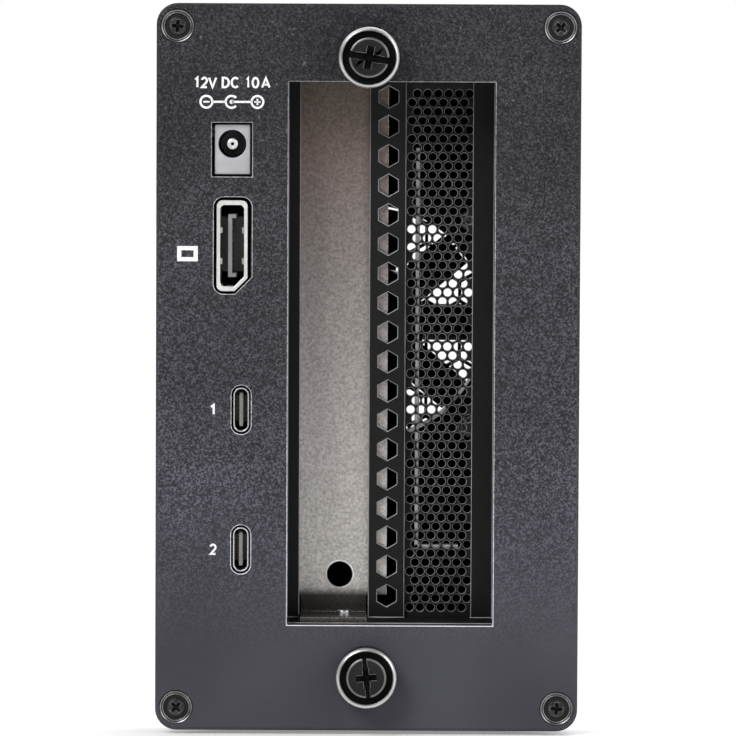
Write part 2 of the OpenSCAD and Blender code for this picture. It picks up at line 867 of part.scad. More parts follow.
module board_standoffs() {
    color([0.75, 0.65, 0.35]) in_case() at_board_holes() difference() {
        rod_x([board_x + board_t, part_x - sheet_t], 0, 0, standoff_d);
        rod_x([board_x, part_x - sheet_t - cut / 2], 0, 0, screw_d + 2 * play);
    }
}

module board_screws() {
    color("silver") in_case() at_board_holes() difference() {
        union() {
            rod_x([board_x - head_h, board_x], 0, 0, head_d);
            rod_x([board_x - head_h, board_x + board_t + tap_l], 0, 0, screw_d);
        }
        translate([board_x - head_h, 0, 0]) rotate([0, 0, -90])
            cross_drive(drive_l, drive_w, drive_depth);
    }
}

module dc_jack_body() {
    color([0.6, 0.6, 0.62]) in_case() difference() {
        plate(jack_front, jack_l) translate(jack_at) square(jack_size, center = true);
        rod_y(jack_bore_at[0], [jack_front - cut, jack_front + jack_bore_depth], jack_bore_at[1],
            jack_bore_d);
    }
}

module dc_jack_pin() {
    color("silver") in_case()
        rod_y(jack_bore_at[0], [jack_front + jack_pin_set, jack_front + jack_bore_depth],
            jack_bore_at[1], jack_pin_d);
}

// The display socket's outline, with its lower right corner cut and the others round
module display_outline(size, share) {
    x = size[0] / 2;
    z = size[1] / 2;
    corner = display_corner * share;
    intersection() {
        polygon([[-x, -z], [x - corner, -z], [x, corner - z], [x, z], [-x, z]]);
        rounded(size[0], size[1], display_round * share);
    }
}

module display_socket_shell() {
    color("silver") in_case() plate(display_front, display_l) translate(display_at)
        difference() {
            display_outline(display_out, 1);
            display_outline(display_in, display_in[0] / display_out[0]);
        }
}

module display_socket_tongue() {
    t = display_tongue_t;
    h = display_tongue_h;
    back = display_front + display_l;
    color([0.15, 0.15, 0.16]) in_case() {
        plate(display_front + tongue_set, display_l - tongue_set - cut) translate(display_at) {
            translate([-t / 2, 0]) square([t, h], center = true);
            for (sz = [-1, 1])
                translate([display_hook / 2 - t, sz * (h / 2 - t / 2)])
                    square([display_hook, t], center = true);
        }
        plate(back - display_back, display_back) translate(display_at)
            square([display_in[0], display_in[1] - 2 * display_corner], center = true);
    }
}

module data_port_shells() {
    color("silver") in_case() plate(data_front, data_l) for (z = data_zs)
        translate([data_x, z]) difference() {
            rounded(data_out[0], data_out[1], data_out[0] / 2 - play);
            rounded(data_in[0], data_in[1], data_in[0] / 2 - play);
        }
}

module data_port_tongues() {
    color([0.1, 0.1, 0.1]) in_case() for (z = data_zs) {
        plate(data_front + tongue_set, data_l - tongue_set - play) translate([data_x, z])
            square([data_tongue_t, data_tongue_h], center = true);
        plate(data_front + data_l - data_back, data_back) translate([data_x, z])
            square([data_in[0], data_tongue_h * data_back_share], center = true);
    }
}

// A flat part on the board's component side, centred on a place
module on_board(at, size, x) {
    block(x, [at[0] - size[0] / 2, at[0] + size[0] / 2], [at[1] - size[1] / 2, at[1] + size[1] / 2]);
}

module controller_chip() {
    color([0.1, 0.1, 0.1]) in_case() on_board(chip_at, chip_size, [board_x - chip_t, board_x]);
}

module small_chips() {
    color([0.1, 0.1, 0.1]) in_case() for (at = small_chip_places)
        on_board(at, small_chip_size, [board_x - small_chip_t, board_x]);
}

module heat_sink() {
    base_x = board_x - chip_t - sink_base;
    fin_pitch = (sink_size[1] - sink_fin_t) / (sink_fins - 1);
    color([0.55, 0.56, 0.58]) in_case() difference() {
        union() {
            on_board(chip_at, sink_size, [base_x, board_x - chip_t]);
            for (i = [0 : sink_fins - 1])
                translate([0, 0, i * fin_pitch])
                    block([base_x - sink_fin_h, base_x],
                        [chip_at[0] - sink_size[0] / 2 + sink_fin_inset,
                            chip_at[0] + sink_size[0] / 2 - sink_fin_inset],
                        [chip_at[1] - sink_size[1] / 2, chip_at[1] - sink_size[1] / 2 + sink_fin_t]);
        }
        at_sink_pins() {
            rod_x([base_x - cut, board_x], 0, 0, screw_d + 2 * play);
            rod_x([base_x - sink_fin_h - cut, base_x], 0, 0, pin_head_d + cut);
        }
    }
}

module heat_sink_pins() {
    base_x = board_x - chip_t - sink_base;
    color([0.1, 0.1, 0.1]) in_case() at_sink_pins() {
        rod_x([base_x - head_h, base_x], 0, 0, pin_head_d);
        rod_x([base_x - head_h, board_x + board_t], 0, 0, screw_d);
    }
}

module power_coils() {
    color([0.25, 0.25, 0.26]) in_case() for (i = [0 : coil_count - 1])
        on_board([coil_y + i * coil_pitch, coil_z], [coil_size, coil_size],
            [board_x - coil_h, board_x]);
}

module capacitors() {
    color([0.7, 0.7, 0.75]) in_case() for (at = cap_places)
        rod_x([board_x - cap_h, board_x], at[0], at[1], cap_d);
}

module at_slot_board_holes() {
    for (x = [slot_board_x[0] + slot_hole_in[0], slot_board_x[1] - slot_hole_in[0]],
         y = [slot_board_y[0] + slot_hole_in[1], slot_board_y[1] - slot_hole_in[1]])
        translate([x, y, 0]) children();
}

module slot_board() {
    color([0.08, 0.25, 0.14]) in_case() difference() {
        block(slot_board_x, slot_board_y, [slot_board_z, slot_board_z + board_t]);
        at_slot_board_holes()
            rod_z(0, 0, [slot_board_z - cut, slot_board_z + board_t + cut], screw_d + 2 * play);
    }
}

module slot_board_spacers() {
    color([0.75, 0.65, 0.35]) in_case() at_slot_board_holes() difference() {
        rod_z(0, 0, [slot_board_z + board_t, tray_half_h - sheet_t], standoff_d);
        rod_z(0, 0, [slot_board_z, tray_half_h - sheet_t - cut / 2], screw_d + 2 * play);
    }
}

module slot_board_screws() {
    color("silver") in_case() at_slot_board_holes() difference() {
        union() {
            rod_z(0, 0, [slot_board_z - head_h, slot_board_z], head_d);
            rod_z(0, 0, [slot_board_z - head_h, tray_half_h - sheet_t - cut], screw_d);
        }
        translate([0, 0, slot_board_z - head_h]) rotate([90, 0, 0]) rotate([0, 0, 180])
            cross_from_below();
    }
}

module card_slot() {
    color([0.08, 0.08, 0.09]) in_case() difference() {
        union() {
            block([card_slot_x - card_slot_w / 2, card_slot_x + card_slot_w / 2],
                [card_slot_y, card_slot_end], [card_slot_low, slot_board_z]);
            for (side = [-1, 1])
                translate([card_slot_x + side * (card_slot_w - ear_t) / 2, 0, 0])
                    block([-ear_t / 2, ear_t / 2], [card_slot_end - cut, card_slot_end + ear_l],
                        [card_slot_low + ear_h[0], card_slot_low + ear_h[1]]);
        }
        block(groove_x, [card_slot_y + groove_wall, card_slot_y + key_y], groove_z);
        block(groove_x, [card_slot_y + key_y + key_t, card_slot_end - groove_wall], groove_z);
        rod_x([card_slot_x - card_slot_w, card_slot_x + card_slot_w], pivot_y, pivot_z,
            latch_pin_d + 2 * play);
    }
}

module card_slot_contacts() {
    first = card_slot_y + key_y + key_t + contact_w;
    pitch = (card_slot_end - groove_wall - contact_w - first) / contact_count;
    top = card_slot_low + groove_depth;
    color([0.85, 0.7, 0.3]) in_case() for (side = [0, 1], i = [0 : contact_count - 1])
        translate([side * (groove_w - contact_t), first + i * pitch, 0])
            block([groove_x[0], groove_x[0] + contact_t], [0, contact_w], [top - contact_h, top]);
}

module card_latch() {
    color([0.85, 0.85, 0.82]) in_case() {
        block([card_slot_x - latch_w / 2, card_slot_x + latch_w / 2],
            [pivot_y - latch_t / 2, pivot_y + latch_t / 2], [pivot_z - latch_h, pivot_z + latch_up]);
        block([card_slot_x - latch_w / 2, card_slot_x + latch_w / 2],
            [pivot_y + latch_t / 2 - play, pivot_y + latch_t / 2 + latch_hook],
            [pivot_z - latch_h, pivot_z - latch_h + latch_hook_t]);
        rod_x([card_slot_x - card_slot_w / 2, card_slot_x + card_slot_w / 2], pivot_y, pivot_z,
            latch_pin_d);
    }
}

module link_connector() {
    color([0.8, 0.78, 0.7]) in_case()
        block([board_x + board_t, link_x], link_y, [slot_board_z - link_h, slot_board_z]);
}

module fan_header() {
    color([0.85, 0.85, 0.8]) in_case() difference() {
        block(plug_x, [header_y, header_y + header_l],
            [header_z - header_h / 2, header_z + header_h / 2]);
        block([plug_x[0] + clip_wall, plug_x[1] - clip_wall],
            [header_y + clip_wall, header_y + header_l + cut],
            [header_z - header_h / 2 + clip_wall, header_z + header_h / 2 - clip_wall]);
    }
}

module fan_plug() {
    inset = clip_wall + play;
    color([0.9, 0.9, 0.86]) in_case()
        block([plug_x[0] + inset, plug_x[1] - inset],
            [header_y + clip_wall, header_y + clip_wall + plug_l],
            [header_z - header_h / 2 + inset, header_z + header_h / 2 - inset]);
}

// How far a wire has moved sideways at depth y: an easy bend between two straight runs
function wire_x(y) =
    let (share = max(0, min(1, (y - wire_bend_y[0]) / (wire_bend_y[1] - wire_bend_y[0]))))
    lead_x - wire_shift * share * share * (3 - 2 * share);

// The depths of a wire's rings: one at each end and the rest over the bend
function wire_depths(first, last) = concat([first], [for (i = [0 : wire_rings - 1])
    wire_bend_y[0] + i * (wire_bend_y[1] - wire_bend_y[0]) / (wire_rings - 1)], [last]);

module wire(first, last) {
    depths = wire_depths(first, last);
    n = wire_sides;
    count = len(depths);
    polyhedron(
        points = [for (y = depths, side = [0 : n - 1])
            [wire_x(y) + wire_d / 2 * cos(side * 360 / n), y, wire_d / 2 * sin(side * 360 / n)]],
        faces = concat(
            [[for (side = [n - 1 : -1 : 0]) side]],
            [for (ring = [0 : count - 2], side = [0 : n - 1])
                [ring * n + side, ring * n + (side + 1) % n,
                    (ring + 1) * n + (side + 1) % n, (ring + 1) * n + side]],
            [[for (side = [0 : n - 1]) (count - 1) * n + side]]
        )
    );
}

module fan_lead() {
    colours = ["black", "red", "yellow"];
    in_case() for (i = [-1 : 1]) color(colours[i + 1])
        translate([0, 0, header_z + i * wire_pitch]) wire(header_y + clip_wall + plug_l, fan_y);
}

module lead_clip() {
    gap = wire_d / 2 + clip_gap;
    tall = wire_pitch + gap;
    x = wire_x(clip_y);
    color([0.85, 0.85, 0.82]) in_case() difference() {
        block([x - gap - clip_wall, part_x - sheet_t], [clip_y, clip_y + clip_l],
            [header_z - tall - clip_wall, header_z + tall + clip_wall]);
        block([x - gap, x + gap], [clip_y - cut, clip_y + clip_l + cut],
            [header_z - tall, header_z + tall]);
    }
}

outer_sleeve();
rear_panel();
panel_bushes();
corner_screws();
rubber_feet();
thumbscrew_top();
thumbscrew_top_washer();
thumbscrew_bottom();
thumbscrew_bottom_washer();
inner_tray();
rear_frame();
press_nuts();
vented_cover();
slot_cover();
slot_cover_screw();
fan_wall();
fan_frame();
fan_screws();
fan_rotor();
front_bezel();
bezel_screws();
light_pipe();
led_board();
main_board();
board_standoffs();
board_screws();
dc_jack_body();
dc_jack_pin();
display_socket_shell();
display_socket_tongue();
data_port_shells();
data_port_tongues();
controller_chip();
small_chips();
heat_sink();
heat_sink_pins();
power_coils();
capacitors();
slot_board();
slot_board_spacers();
slot_board_screws();
card_slot();
card_slot_contacts();
card_latch();
link_connector();
fan_header();
fan_plug();
fan_lead();
lead_clip();
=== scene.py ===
import json
import math
import random

import bmesh
import bpy
from mathutils import Matrix, Vector


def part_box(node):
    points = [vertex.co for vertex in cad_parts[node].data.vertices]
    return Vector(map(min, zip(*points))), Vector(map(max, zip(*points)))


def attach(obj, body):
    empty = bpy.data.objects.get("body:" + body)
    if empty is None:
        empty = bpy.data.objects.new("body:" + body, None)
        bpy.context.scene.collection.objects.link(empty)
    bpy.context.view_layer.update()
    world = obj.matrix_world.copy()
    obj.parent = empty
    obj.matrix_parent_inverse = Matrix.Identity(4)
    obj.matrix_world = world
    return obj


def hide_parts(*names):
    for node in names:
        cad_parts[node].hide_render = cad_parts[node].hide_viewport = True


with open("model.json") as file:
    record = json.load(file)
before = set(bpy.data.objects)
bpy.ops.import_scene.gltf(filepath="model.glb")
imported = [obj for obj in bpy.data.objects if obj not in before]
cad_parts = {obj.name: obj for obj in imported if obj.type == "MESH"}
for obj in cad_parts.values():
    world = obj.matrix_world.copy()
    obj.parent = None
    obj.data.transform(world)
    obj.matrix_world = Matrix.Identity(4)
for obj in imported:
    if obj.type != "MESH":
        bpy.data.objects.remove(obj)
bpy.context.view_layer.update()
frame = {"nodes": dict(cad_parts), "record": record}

# The case's own frame in millimetres: x to the right, y from the rear face, z from the middle
MM = 0.001
FACE_Y = -112.5
MID_Z = 73.8

# Sizes shared with the CAD, in millimetres
CASE_W = 85.0
CASE_H = 146.0
OUTLINE_IN = 1.4
SLOT_H = 109.1
SLOT_Z = 2.85
THUMB_ZS = (62.2, -61.7)
SCREW_X = 38.3
SCREW_Z = 68.4
SINK_REACH = 4.2
FAN_Y = 210.8
FAN_HUB_R = 14.0
FAN_TIP_R = 27.9
FAN_RIM = 1.6

# Edges flatter than these angles are smooth, and turned shapes end in a ring this small
SMOOTH_DEG = 32
CURVED_SMOOTH_DEG = 40
POLE_R = 0.01

# Heights over which the coat goes from smooth to speckled, its painted light and shade go from pale to
# dark, and the plate's painted reflection does the same
SPECKLE_Z = (-58, -22)
COAT_PAINTED_LIGHT_Z = (-70, 70)
PLATE_PAINTED_LIGHT_Z = (-52, 60)


def place(x, y, z):
    """A point of the case's frame in metres, in the row frame."""
    return Vector((x * MM, (FACE_Y + y) * MM, (MID_Z + z) * MM))


def srgb(red, green, blue):
    """A shader colour from display values of 0 to 255."""
    return tuple(
        (v / 255 / 12.92 if v <= 10 else ((v / 255 + 0.055) / 1.055) ** 2.4)
        for v in (red, green, blue)
    ) + (1.0,)


def add_node(tree, kind, *sources, **settings):
    """A new shader node with its settings, fed by sources in the order of its inputs."""
    made = tree.nodes.new("ShaderNode" + kind)
    for key, value in settings.items():
        setattr(made, key, value)
    for source, target in zip(sources, made.inputs):
        tree.links.new(source, target)
    return made


def preset(node, values):
    """Sets the inputs of a shader node, each by its name or number."""
    for key, value in values.items():
        node.inputs[key].default_value = value


# Numbers of a mix node's sockets for colours
MIX_INPUTS = (0, 6, 7)
MIX_OUTPUT = 2


class Finish:
    """A procedural material: a principled shader and the textures that feed it."""

    def __init__(self, name, colour, roughness, metallic=0.0, coat=0.0):
        self.material = bpy.data.materials.new(name)
        self.material.use_nodes = True
        self.material.diffuse_color = colour
        self.tree = self.material.node_tree
        self.shader = self.tree.nodes["Principled BSDF"]
        preset(self.shader, {"Base Color": colour, "Roughness": roughness,
                             "Metallic": metallic, "Coat Weight": coat})
        self.place = self.node("TexCoord").outputs["Object"]
        self.normal = None

    def node(self, kind, *sources, **settings):
        return add_node(self.tree, kind, *sources, **settings)

    def join(self, source, target):
        self.tree.links.new(source, target)

    def stretched(self, scale):
        """The surface's coordinates with their own scale along each axis."""
        mapping = self.node("Mapping", self.place)
        preset(mapping, {"Scale": scale})
        return mapping.outputs["Vector"]

    def texture(self, kind, size_mm, stretch, **settings):
        made = self.node(kind, self.stretched(stretch) if stretch else self.place, **settings)
        preset(made, {"Scale": 1 / (size_mm * MM)})
        return made

    def noise(self, size_mm, detail=2.0, stretch=None, distortion=0.0):
        """Noise whose features are about size_mm across."""
        made = self.texture("TexNoise", size_mm, stretch)
        preset(made, {"Detail": detail, "Distortion": distortion})
        return made.outputs["Fac"]

    def cells(self, size_mm, feature="F1", stretch=None):
        """Cells about size_mm across, measured from their middles or their edges."""
        made = self.texture("TexVoronoi", size_mm, stretch, feature=feature)
        return made.outputs["Distance"]

    def ramp(self, value, stops):
        """Colours or greys at positions from 0 to 1, blended in between."""
        made = self.node("ValToRGB", value)
        while len(made.color_ramp.elements) < len(stops):
            made.color_ramp.elements.new(0.5)
        for element, (at, colour) in zip(made.color_ramp.elements, stops):
            element.position = at
            element.color = colour if len(colour) == 4 else tuple(colour) * 3 + (1.0,)
        return made.outputs["Color"]

    def mix(self, share, first, second, kind="MIX"):
        made = self.node("Mix", data_type="RGBA", blend_type=kind)
        for socket, value in zip(MIX_INPUTS, (share, first, second)):
            if hasattr(value, "is_linked"):
                self.join(value, made.inputs[socket])
            else:
                made.inputs[socket].default_value = value
        return made.outputs[MIX_OUTPUT]

    def combine(self, operation, first, second):
        """Two numbers made into one by a sum or the like."""
        return self.node("Math", first, second, operation=operation).outputs[0]

    def height_share(self, low_mm, high_mm):
        """0 at one height of the case and 1 at another."""
        height = self.node("SeparateXYZ", self.place).outputs["Z"]
        made = self.node("MapRange", height)
        preset(made, {"From Min": (MID_Z + low_mm) * MM, "From Max": (MID_Z + high_mm) * MM})
        return made.outputs["Result"]

    def colour(self, value):
        self.join(value, self.shader.inputs["Base Color"])

    def rough(self, value, low, high):
        made = self.node("MapRange", value)
        preset(made, {"To Min": low, "To Max": high})
        self.join(made.outputs["Result"], self.shader.inputs["Roughness"])

    def bump(self, height, strength, depth_mm):
        made = self.node("Bump")
        preset(made, {"Strength": strength, "Distance": depth_mm * MM})
        self.join(height, made.inputs["Height"])
        if self.normal:
            self.join(self.normal, made.inputs["Normal"])
        self.normal = made.outputs["Normal"]
        self.join(self.normal, self.shader.inputs["Normal"])


def grey(value):
    return srgb(value, value, value)


def dimmed(colour, share):
    """A colour times a share, and no brighter than white."""
    return tuple(min(1.0, c * share) for c in colour[:3]) + (1.0,)


def powder_coat(name, dark, middle, light, roughness=0.62, light_and_patch_share=1.0):
    """Fine-textured coat: speckled in the upper part and smoother low down, with painted light making
    it paler low down and painted shade making it darker at the top.
    """
    made = Finish(name, middle, roughness)
    preset(made.shader, {"Specular IOR Level": 0.3})
    grains = made.noise(0.36, 2.0)
    high_share = made.ramp(made.height_share(*SPECKLE_Z), [(0.0, (0.0,)), (1.0, (1.0,))])
    speckled = made.ramp(grains, [(0.36, dark), (0.5, middle), (0.64, light)])
    shade = made.mix(high_share, middle, speckled)
    # Painted light and shade: a height ramp that makes the coat paler low down and darker at the top
    painted_light_and_shade = made.ramp(made.height_share(*COAT_PAINTED_LIGHT_Z), [
        (0.0, (1.66, 1.64, 1.76, 1)), (0.25, (1.5, 1.48, 1.6, 1)), (0.5, (1.06, 1.06, 1.08, 1)),
        (0.8, (0.66,)), (1.0, (0.54,))])
    # The share sets how much of the painted light and shade, and of the random patches, the coat keeps
    shade = made.mix(light_and_patch_share, shade, painted_light_and_shade, "MULTIPLY")
    patches = made.ramp(made.noise(30, 2.0), [(0.35, (0.84,)), (0.65, (1.16,))])
    shade = made.mix(light_and_patch_share, shade, patches, "MULTIPLY")
    flecks = made.ramp(made.noise(0.6, 1.0, distortion=0.4), [(0.69, (0.0,)), (0.76, (1.0,))])
    flecks = made.mix(1.0, flecks, high_share, "MULTIPLY")
    faint = made.mix(1.0, flecks, (0.3, 0.3, 0.3, 1), "MULTIPLY")
    made.colour(made.mix(faint, shade, srgb(140, 140, 150)))
    made.rough(made.noise(1.4, 2.0), roughness - 0.08, roughness + 0.1)
    made.bump(grains, 0.35, 0.04)
    made.bump(made.noise(2.2, 2.0), 0.15, 0.05)
    return made.material


def steel(name, colour, roughness, grain=(1, 1, 1), spread=0.12, flecks_mm=0.7):
    """Plated or bare metal with a grain, blotches of its plating and fine scratches."""
    made = Finish(name, colour, roughness, metallic=1.0)
    lines = made.noise(flecks_mm, 3.0, stretch=grain)
    base = made.ramp(lines, [(0.3, dimmed(colour, 1 - spread)), (0.7, dimmed(colour, 1 + spread))])
    blotches = made.ramp(made.noise(9, 3.0), [(0.35, (0.9,)), (0.7, (1.06,))])
    made.colour(made.mix(1.0, base, blotches, "MULTIPLY"))
    made.rough(lines, roughness - 0.08, roughness + 0.12)
    made.bump(lines, 0.25, 0.02)
    return made.material


def plastic(name, colour, roughness, grain_mm=0.35, strength=0.3, spread=0.14, coat=0.0,
            specular=0.5):
    """Moulded plastic: a fine spark-eroded grain, and handling marks in its gloss."""
    made = Finish(name, colour, roughness, coat=coat)
    preset(made.shader, {"Specular IOR Level": specular})
    grain = made.noise(grain_mm, 2.0)
    made.colour(made.ramp(made.noise(4, 3.0), [
        (0.35, dimmed(colour, 1 - spread)), (0.65, dimmed(colour, 1 + spread))]))
    made.rough(made.noise(7, 3.0), roughness - 0.07, roughness + 0.09)
    made.bump(grain, strength, 0.03)
    return made.material


def galvanised_sheet():
    """Dull zinc plate with a sparkling grain, painted with a reflection that is pale low down and
    darker and browner towards the top, and with shade on its lowest strip.
    """
    made = Finish("galvanised", srgb(160, 154, 150), 0.42, metallic=0.55)
    grain = made.noise(0.5, 3.0)
    # Painted reflection and shade: the two lowest stops paint shade on the bottom strip, and the rest
    # paint a reflection that darkens and browns upwards
    tone = made.ramp(made.height_share(*PLATE_PAINTED_LIGHT_Z), [
        (0.0, srgb(84, 80, 77)), (0.045, srgb(66, 62, 60)), (0.06, srgb(198, 194, 190)),
        (0.3, srgb(182, 177, 174)), (0.62, srgb(150, 143, 140)), (0.84, srgb(126, 112, 107)),
        (1.0, srgb(94, 83, 73))])
    speckle = made.ramp(grain, [(0.3, (0.72,)), (0.5, (1.0,)), (0.7, (1.3,))])
    made.colour(made.mix(1.0, tone, speckle, "MULTIPLY"))
    made.rough(made.noise(1.2, 3.0, stretch=(1, 1, 0.25)), 0.36, 0.55)
    made.bump(grain, 0.3, 0.03)
    return made.material


def circuit_board_finish():
    """Green mask over copper: runs of track, pads of bare tin and small round vias."""
    made = Finish("circuit_board", srgb(14, 74, 44), 0.35, coat=0.35)
    runs = made.cells(3.6, "DISTANCE_TO_EDGE", stretch=(1, 1, 0.34))
    tracks = made.ramp(runs, [(0.05, (1.0,)), (0.09, (0.0,))])
    across = made.cells(4.4, "DISTANCE_TO_EDGE", stretch=(1, 0.3, 1))
    more = made.ramp(across, [(0.04, (1.0,)), (0.07, (0.0,))])
    copper = made.mix(1.0, tracks, more, "LIGHTEN")
    green = made.mix(copper, srgb(9, 58, 34), srgb(24, 104, 62))
    vias = made.ramp(made.cells(2.9), [(0.1, (1.0,)), (0.14, (0.0,))])
    made.colour(made.mix(vias, green, srgb(190, 178, 140)))
    made.rough(made.noise(6, 2.0), 0.28, 0.44)
    made.bump(copper, 0.35, 0.04)
    made.bump(vias, 0.4, 0.05)
    return made.material


def brass_finish(name, colour):
    return steel(name, colour, 0.3, grain=(1, 1, 4), spread=0.08)


def rubber_finish(name, colour):
    made = Finish(name, colour, 0.85)
    made.colour(made.ramp(made.noise(3, 3.0), [
        (0.3, dimmed(colour, 0.7)), (0.7, dimmed(colour, 1.5))]))
    made.rough(made.noise(1.5, 2.0), 0.75, 0.95)
    made.bump(made.noise(0.4, 2.0), 0.4, 0.05)
    return made.material


def clear_finish():
    made = Finish("clear_plastic", srgb(225, 235, 245), 0.12)
    preset(made.shader, {"Transmission Weight": 0.85, "IOR": 1.49})
    made.rough(made.noise(1.5, 2.0), 0.08, 0.25)
    made.bump(made.noise(0.8, 2.0), 0.15, 0.02)
    return made.material


def print_finish():
    """White screen print, a little thin in places."""
    made = Finish("print_white", grey(236), 0.55)
    made.colour(made.ramp(made.noise(0.5, 2.0), [(0.3, grey(214)), (0.6, grey(246))]))
    made.rough(made.noise(0.6, 2.0), 0.45, 0.7)
    made.bump(made.noise(0.6, 2.0), 0.3, 0.02)
    return made.material


def wire_finish(name, colour):
    return plastic(name, colour, 0.4, grain_mm=0.6, strength=0.15, spread=0.1, coat=0.2)


FINISHES = {
    "coat": powder_coat("case_coat", srgb(26, 26, 29), srgb(48, 48, 52), srgb(80, 80, 88)),
    # The side coat keeps 0.3 of the painted light and shade and of the patches
    "side_coat": powder_coat("side_coat", srgb(30, 30, 33), srgb(48, 48, 52), srgb(72, 72, 79),
                             light_and_patch_share=0.3),
    # Light grey that paints highlights on the rear panel's rounded edges
    "coat_edge_highlight": powder_coat("case_coat_rim_highlight", grey(150), grey(190), grey(220), 0.42),
    "black_sheet": plastic("black_steel", srgb(9, 9, 11), 0.5, 0.5, 0.25, 0.2, specular=0.22),
    # Light grey that paints highlights on the vent cover's hole rims and edges
    "black_rim_highlight": plastic("black_steel_rim_highlight", grey(112), 0.35, 0.5, 0.25, 0.2),
    "frame_sheet": plastic("frame_steel", srgb(11, 11, 13), 0.5, 0.5, 0.25, 0.2, specular=0.28),
    # Light grey that paints highlights on the inner frame's rounded edges
    "frame_edge_highlight": plastic("frame_steel_edge_highlight", grey(150), 0.35, 0.5, 0.25, 0.2),
    # Bright steel of the rib behind the vent cover, a painted highlight
    "highlight_rib": steel("vent_highlight_steel", grey(176), 0.3, spread=0.1),
    "zinc_sheet": galvanised_sheet(),
    "knob": plastic("knob_black", srgb(16, 16, 18), 0.45, 0.5, 0.3, 0.25, specular=0.3),
    # Painted highlights on the knobs: a bright rim, and grey on the cap's rim and its recesses' edges
    "knob_rim_highlight": steel("knob_rim_highlight", grey(222), 0.34, grain=(1, 1, 3), spread=0.04),
    "cap_rim_highlight": steel("knob_cap_rim_highlight", grey(128), 0.4, spread=0.1),
    # Bright steel that paints the highlight rings on the corner screws
    "screw_ring_highlight": steel("screw_ring_highlight", grey(138), 0.34, spread=0.14),
    "screw_face": steel("screw_face", grey(70), 0.45, spread=0.2),
    "bush": steel("bush_steel", grey(110), 0.35),
    "zinc": steel("zinc_steel", grey(218), 0.26, spread=0.08),
    "bright": steel("bright_nickel", grey(250), 0.45, spread=0.03),
    "brass": brass_finish("spacer_brass", srgb(212, 178, 104)),
    "rubber": rubber_finish("foot_rubber", srgb(30, 30, 31)),
    "fan": plastic("fan_plastic", srgb(30, 30, 32), 0.38, 0.4, 0.25, 0.2),
    "jack": plastic("jack_plastic", srgb(172, 172, 176), 0.45, 0.4, 0.25, 0.06),
    "tongue": plastic("tongue_plastic", srgb(124, 124, 128), 0.45, 0.3, 0.25, 0.1),
    # Near-black painted shade in the corner screws' ring grooves and cross recesses
    "dark": plastic("screw_groove_shade", srgb(9, 9, 10), 0.6, 0.3, 0.2, 0.2),
    # Near-black painted shade in the knobs' grooves and recesses and inside the power inlet
    "recess_painted_shade": plastic("shade_in_recesses", srgb(5, 5, 6), 0.6, 0.3, 0.2, 0.2, specular=0.1),
    "board": circuit_board_finish(),
    "chip": plastic("chip_black", srgb(34, 34, 36), 0.5, 0.25, 0.3, 0.15),
    "sink": steel("sink_aluminium", grey(186), 0.32, grain=(4, 0.3, 4), spread=0.1),
    "pin": plastic("pin_plastic", srgb(26, 26, 28), 0.45),
    "can": steel("can_aluminium", grey(205), 0.22, grain=(0.3, 4, 4), spread=0.06),
    "slot": plastic("slot_plastic", srgb(28, 28, 31), 0.42),
    "gold": brass_finish("contact_gold", srgb(226, 186, 92)),
    "ivory": plastic("ivory_plastic", srgb(222, 214, 190), 0.5, 0.4, 0.2, 0.05),
    "wire_black": wire_finish("wire_sleeve_black", srgb(22, 22, 24)),
    "wire_red": wire_finish("wire_sleeve_red", srgb(176, 30, 26)),
    "wire_yellow": wire_finish("wire_sleeve_yellow", srgb(214, 178, 40)),
    "clear": clear_finish(),
    "print": print_finish(),
    "resistor": plastic("resistor_black", srgb(24, 24, 28), 0.3, 0.2, 0.2, 0.15, 0.3),
    "ceramic": plastic("ceramic_tan", srgb(168, 132, 96), 0.45, 0.2, 0.2, 0.12),
}


class Shape:
    """Corners and faces in the case's millimetres, with a finish for each face."""

    def __init__(self):
        self.points = []
        self.faces = []
        self.kinds = []

    def ring(self, points):
        """Adds points and returns their numbers."""
        first = len(self.points)
        self.points.extend(points)
        return list(range(first, len(self.points)))

    def face(self, corners, kind=0):
        self.faces.append(tuple(corners))
        self.kinds.append(kind)

    def strip(self, one, two, kind=0):
        """Joins two rings of the same length with four-sided faces."""
        count = len(one)
        for i in range(count):
            j = (i + 1) % count
            self.face((one[i], one[j], two[j], two[i]), kind)

    def tube(self, rings, kinds=None, joined=False):
        """A closed skin over rings of points. Its ends are capped, or joined to each other."""
        made = [self.ring(points) for points in rings]
        kinds = kinds or [0] * len(made)
        for i in range(len(made) - 1):
            self.strip(made[i], made[i + 1], kinds[i])
        if joined:
            self.strip(made[-1], made[0], kinds[-1])
        else:
            self.face(reversed(made[0]), kinds[0])
            self.face(made[-1], kinds[-1])

    def block(self, low, high, kind=0):
        x, y, z = zip(low, high)
        rings = [[(x[a], y[b], z[c]) for a, b in ((0, 0), (1, 0), (1, 1), (0, 1))] for c in (0, 1)]
        self.tube(rings, [kind])


def smooth_mesh(mesh, angle_deg=SMOOTH_DEG):
    """Smooth faces, with the edges past an angle kept sharp."""
    for polygon in mesh.polygons:
        polygon.use_smooth = True
    mesh.set_sharp_from_angle(angle=math.radians(angle_deg))


def mesh_of(name, shape):
    """A Shape's mesh in the row frame, with its faces turned outwards."""
    mesh = bpy.data.meshes.new(name)
    mesh.from_pydata([place(*p) for p in shape.points], [], shape.faces)
    for polygon, kind in zip(mesh.polygons, shape.kinds):
        polygon.material_index = kind
    work = bmesh.new()
    work.from_mesh(mesh)
    bmesh.ops.recalc_face_normals(work, faces=work.faces)
    work.to_mesh(mesh)
    work.free()
    return mesh


def linked(name, data):
    """A new object of the scene."""
    obj = bpy.data.objects.new(name, data)
    bpy.context.scene.collection.objects.link(obj)
    return obj


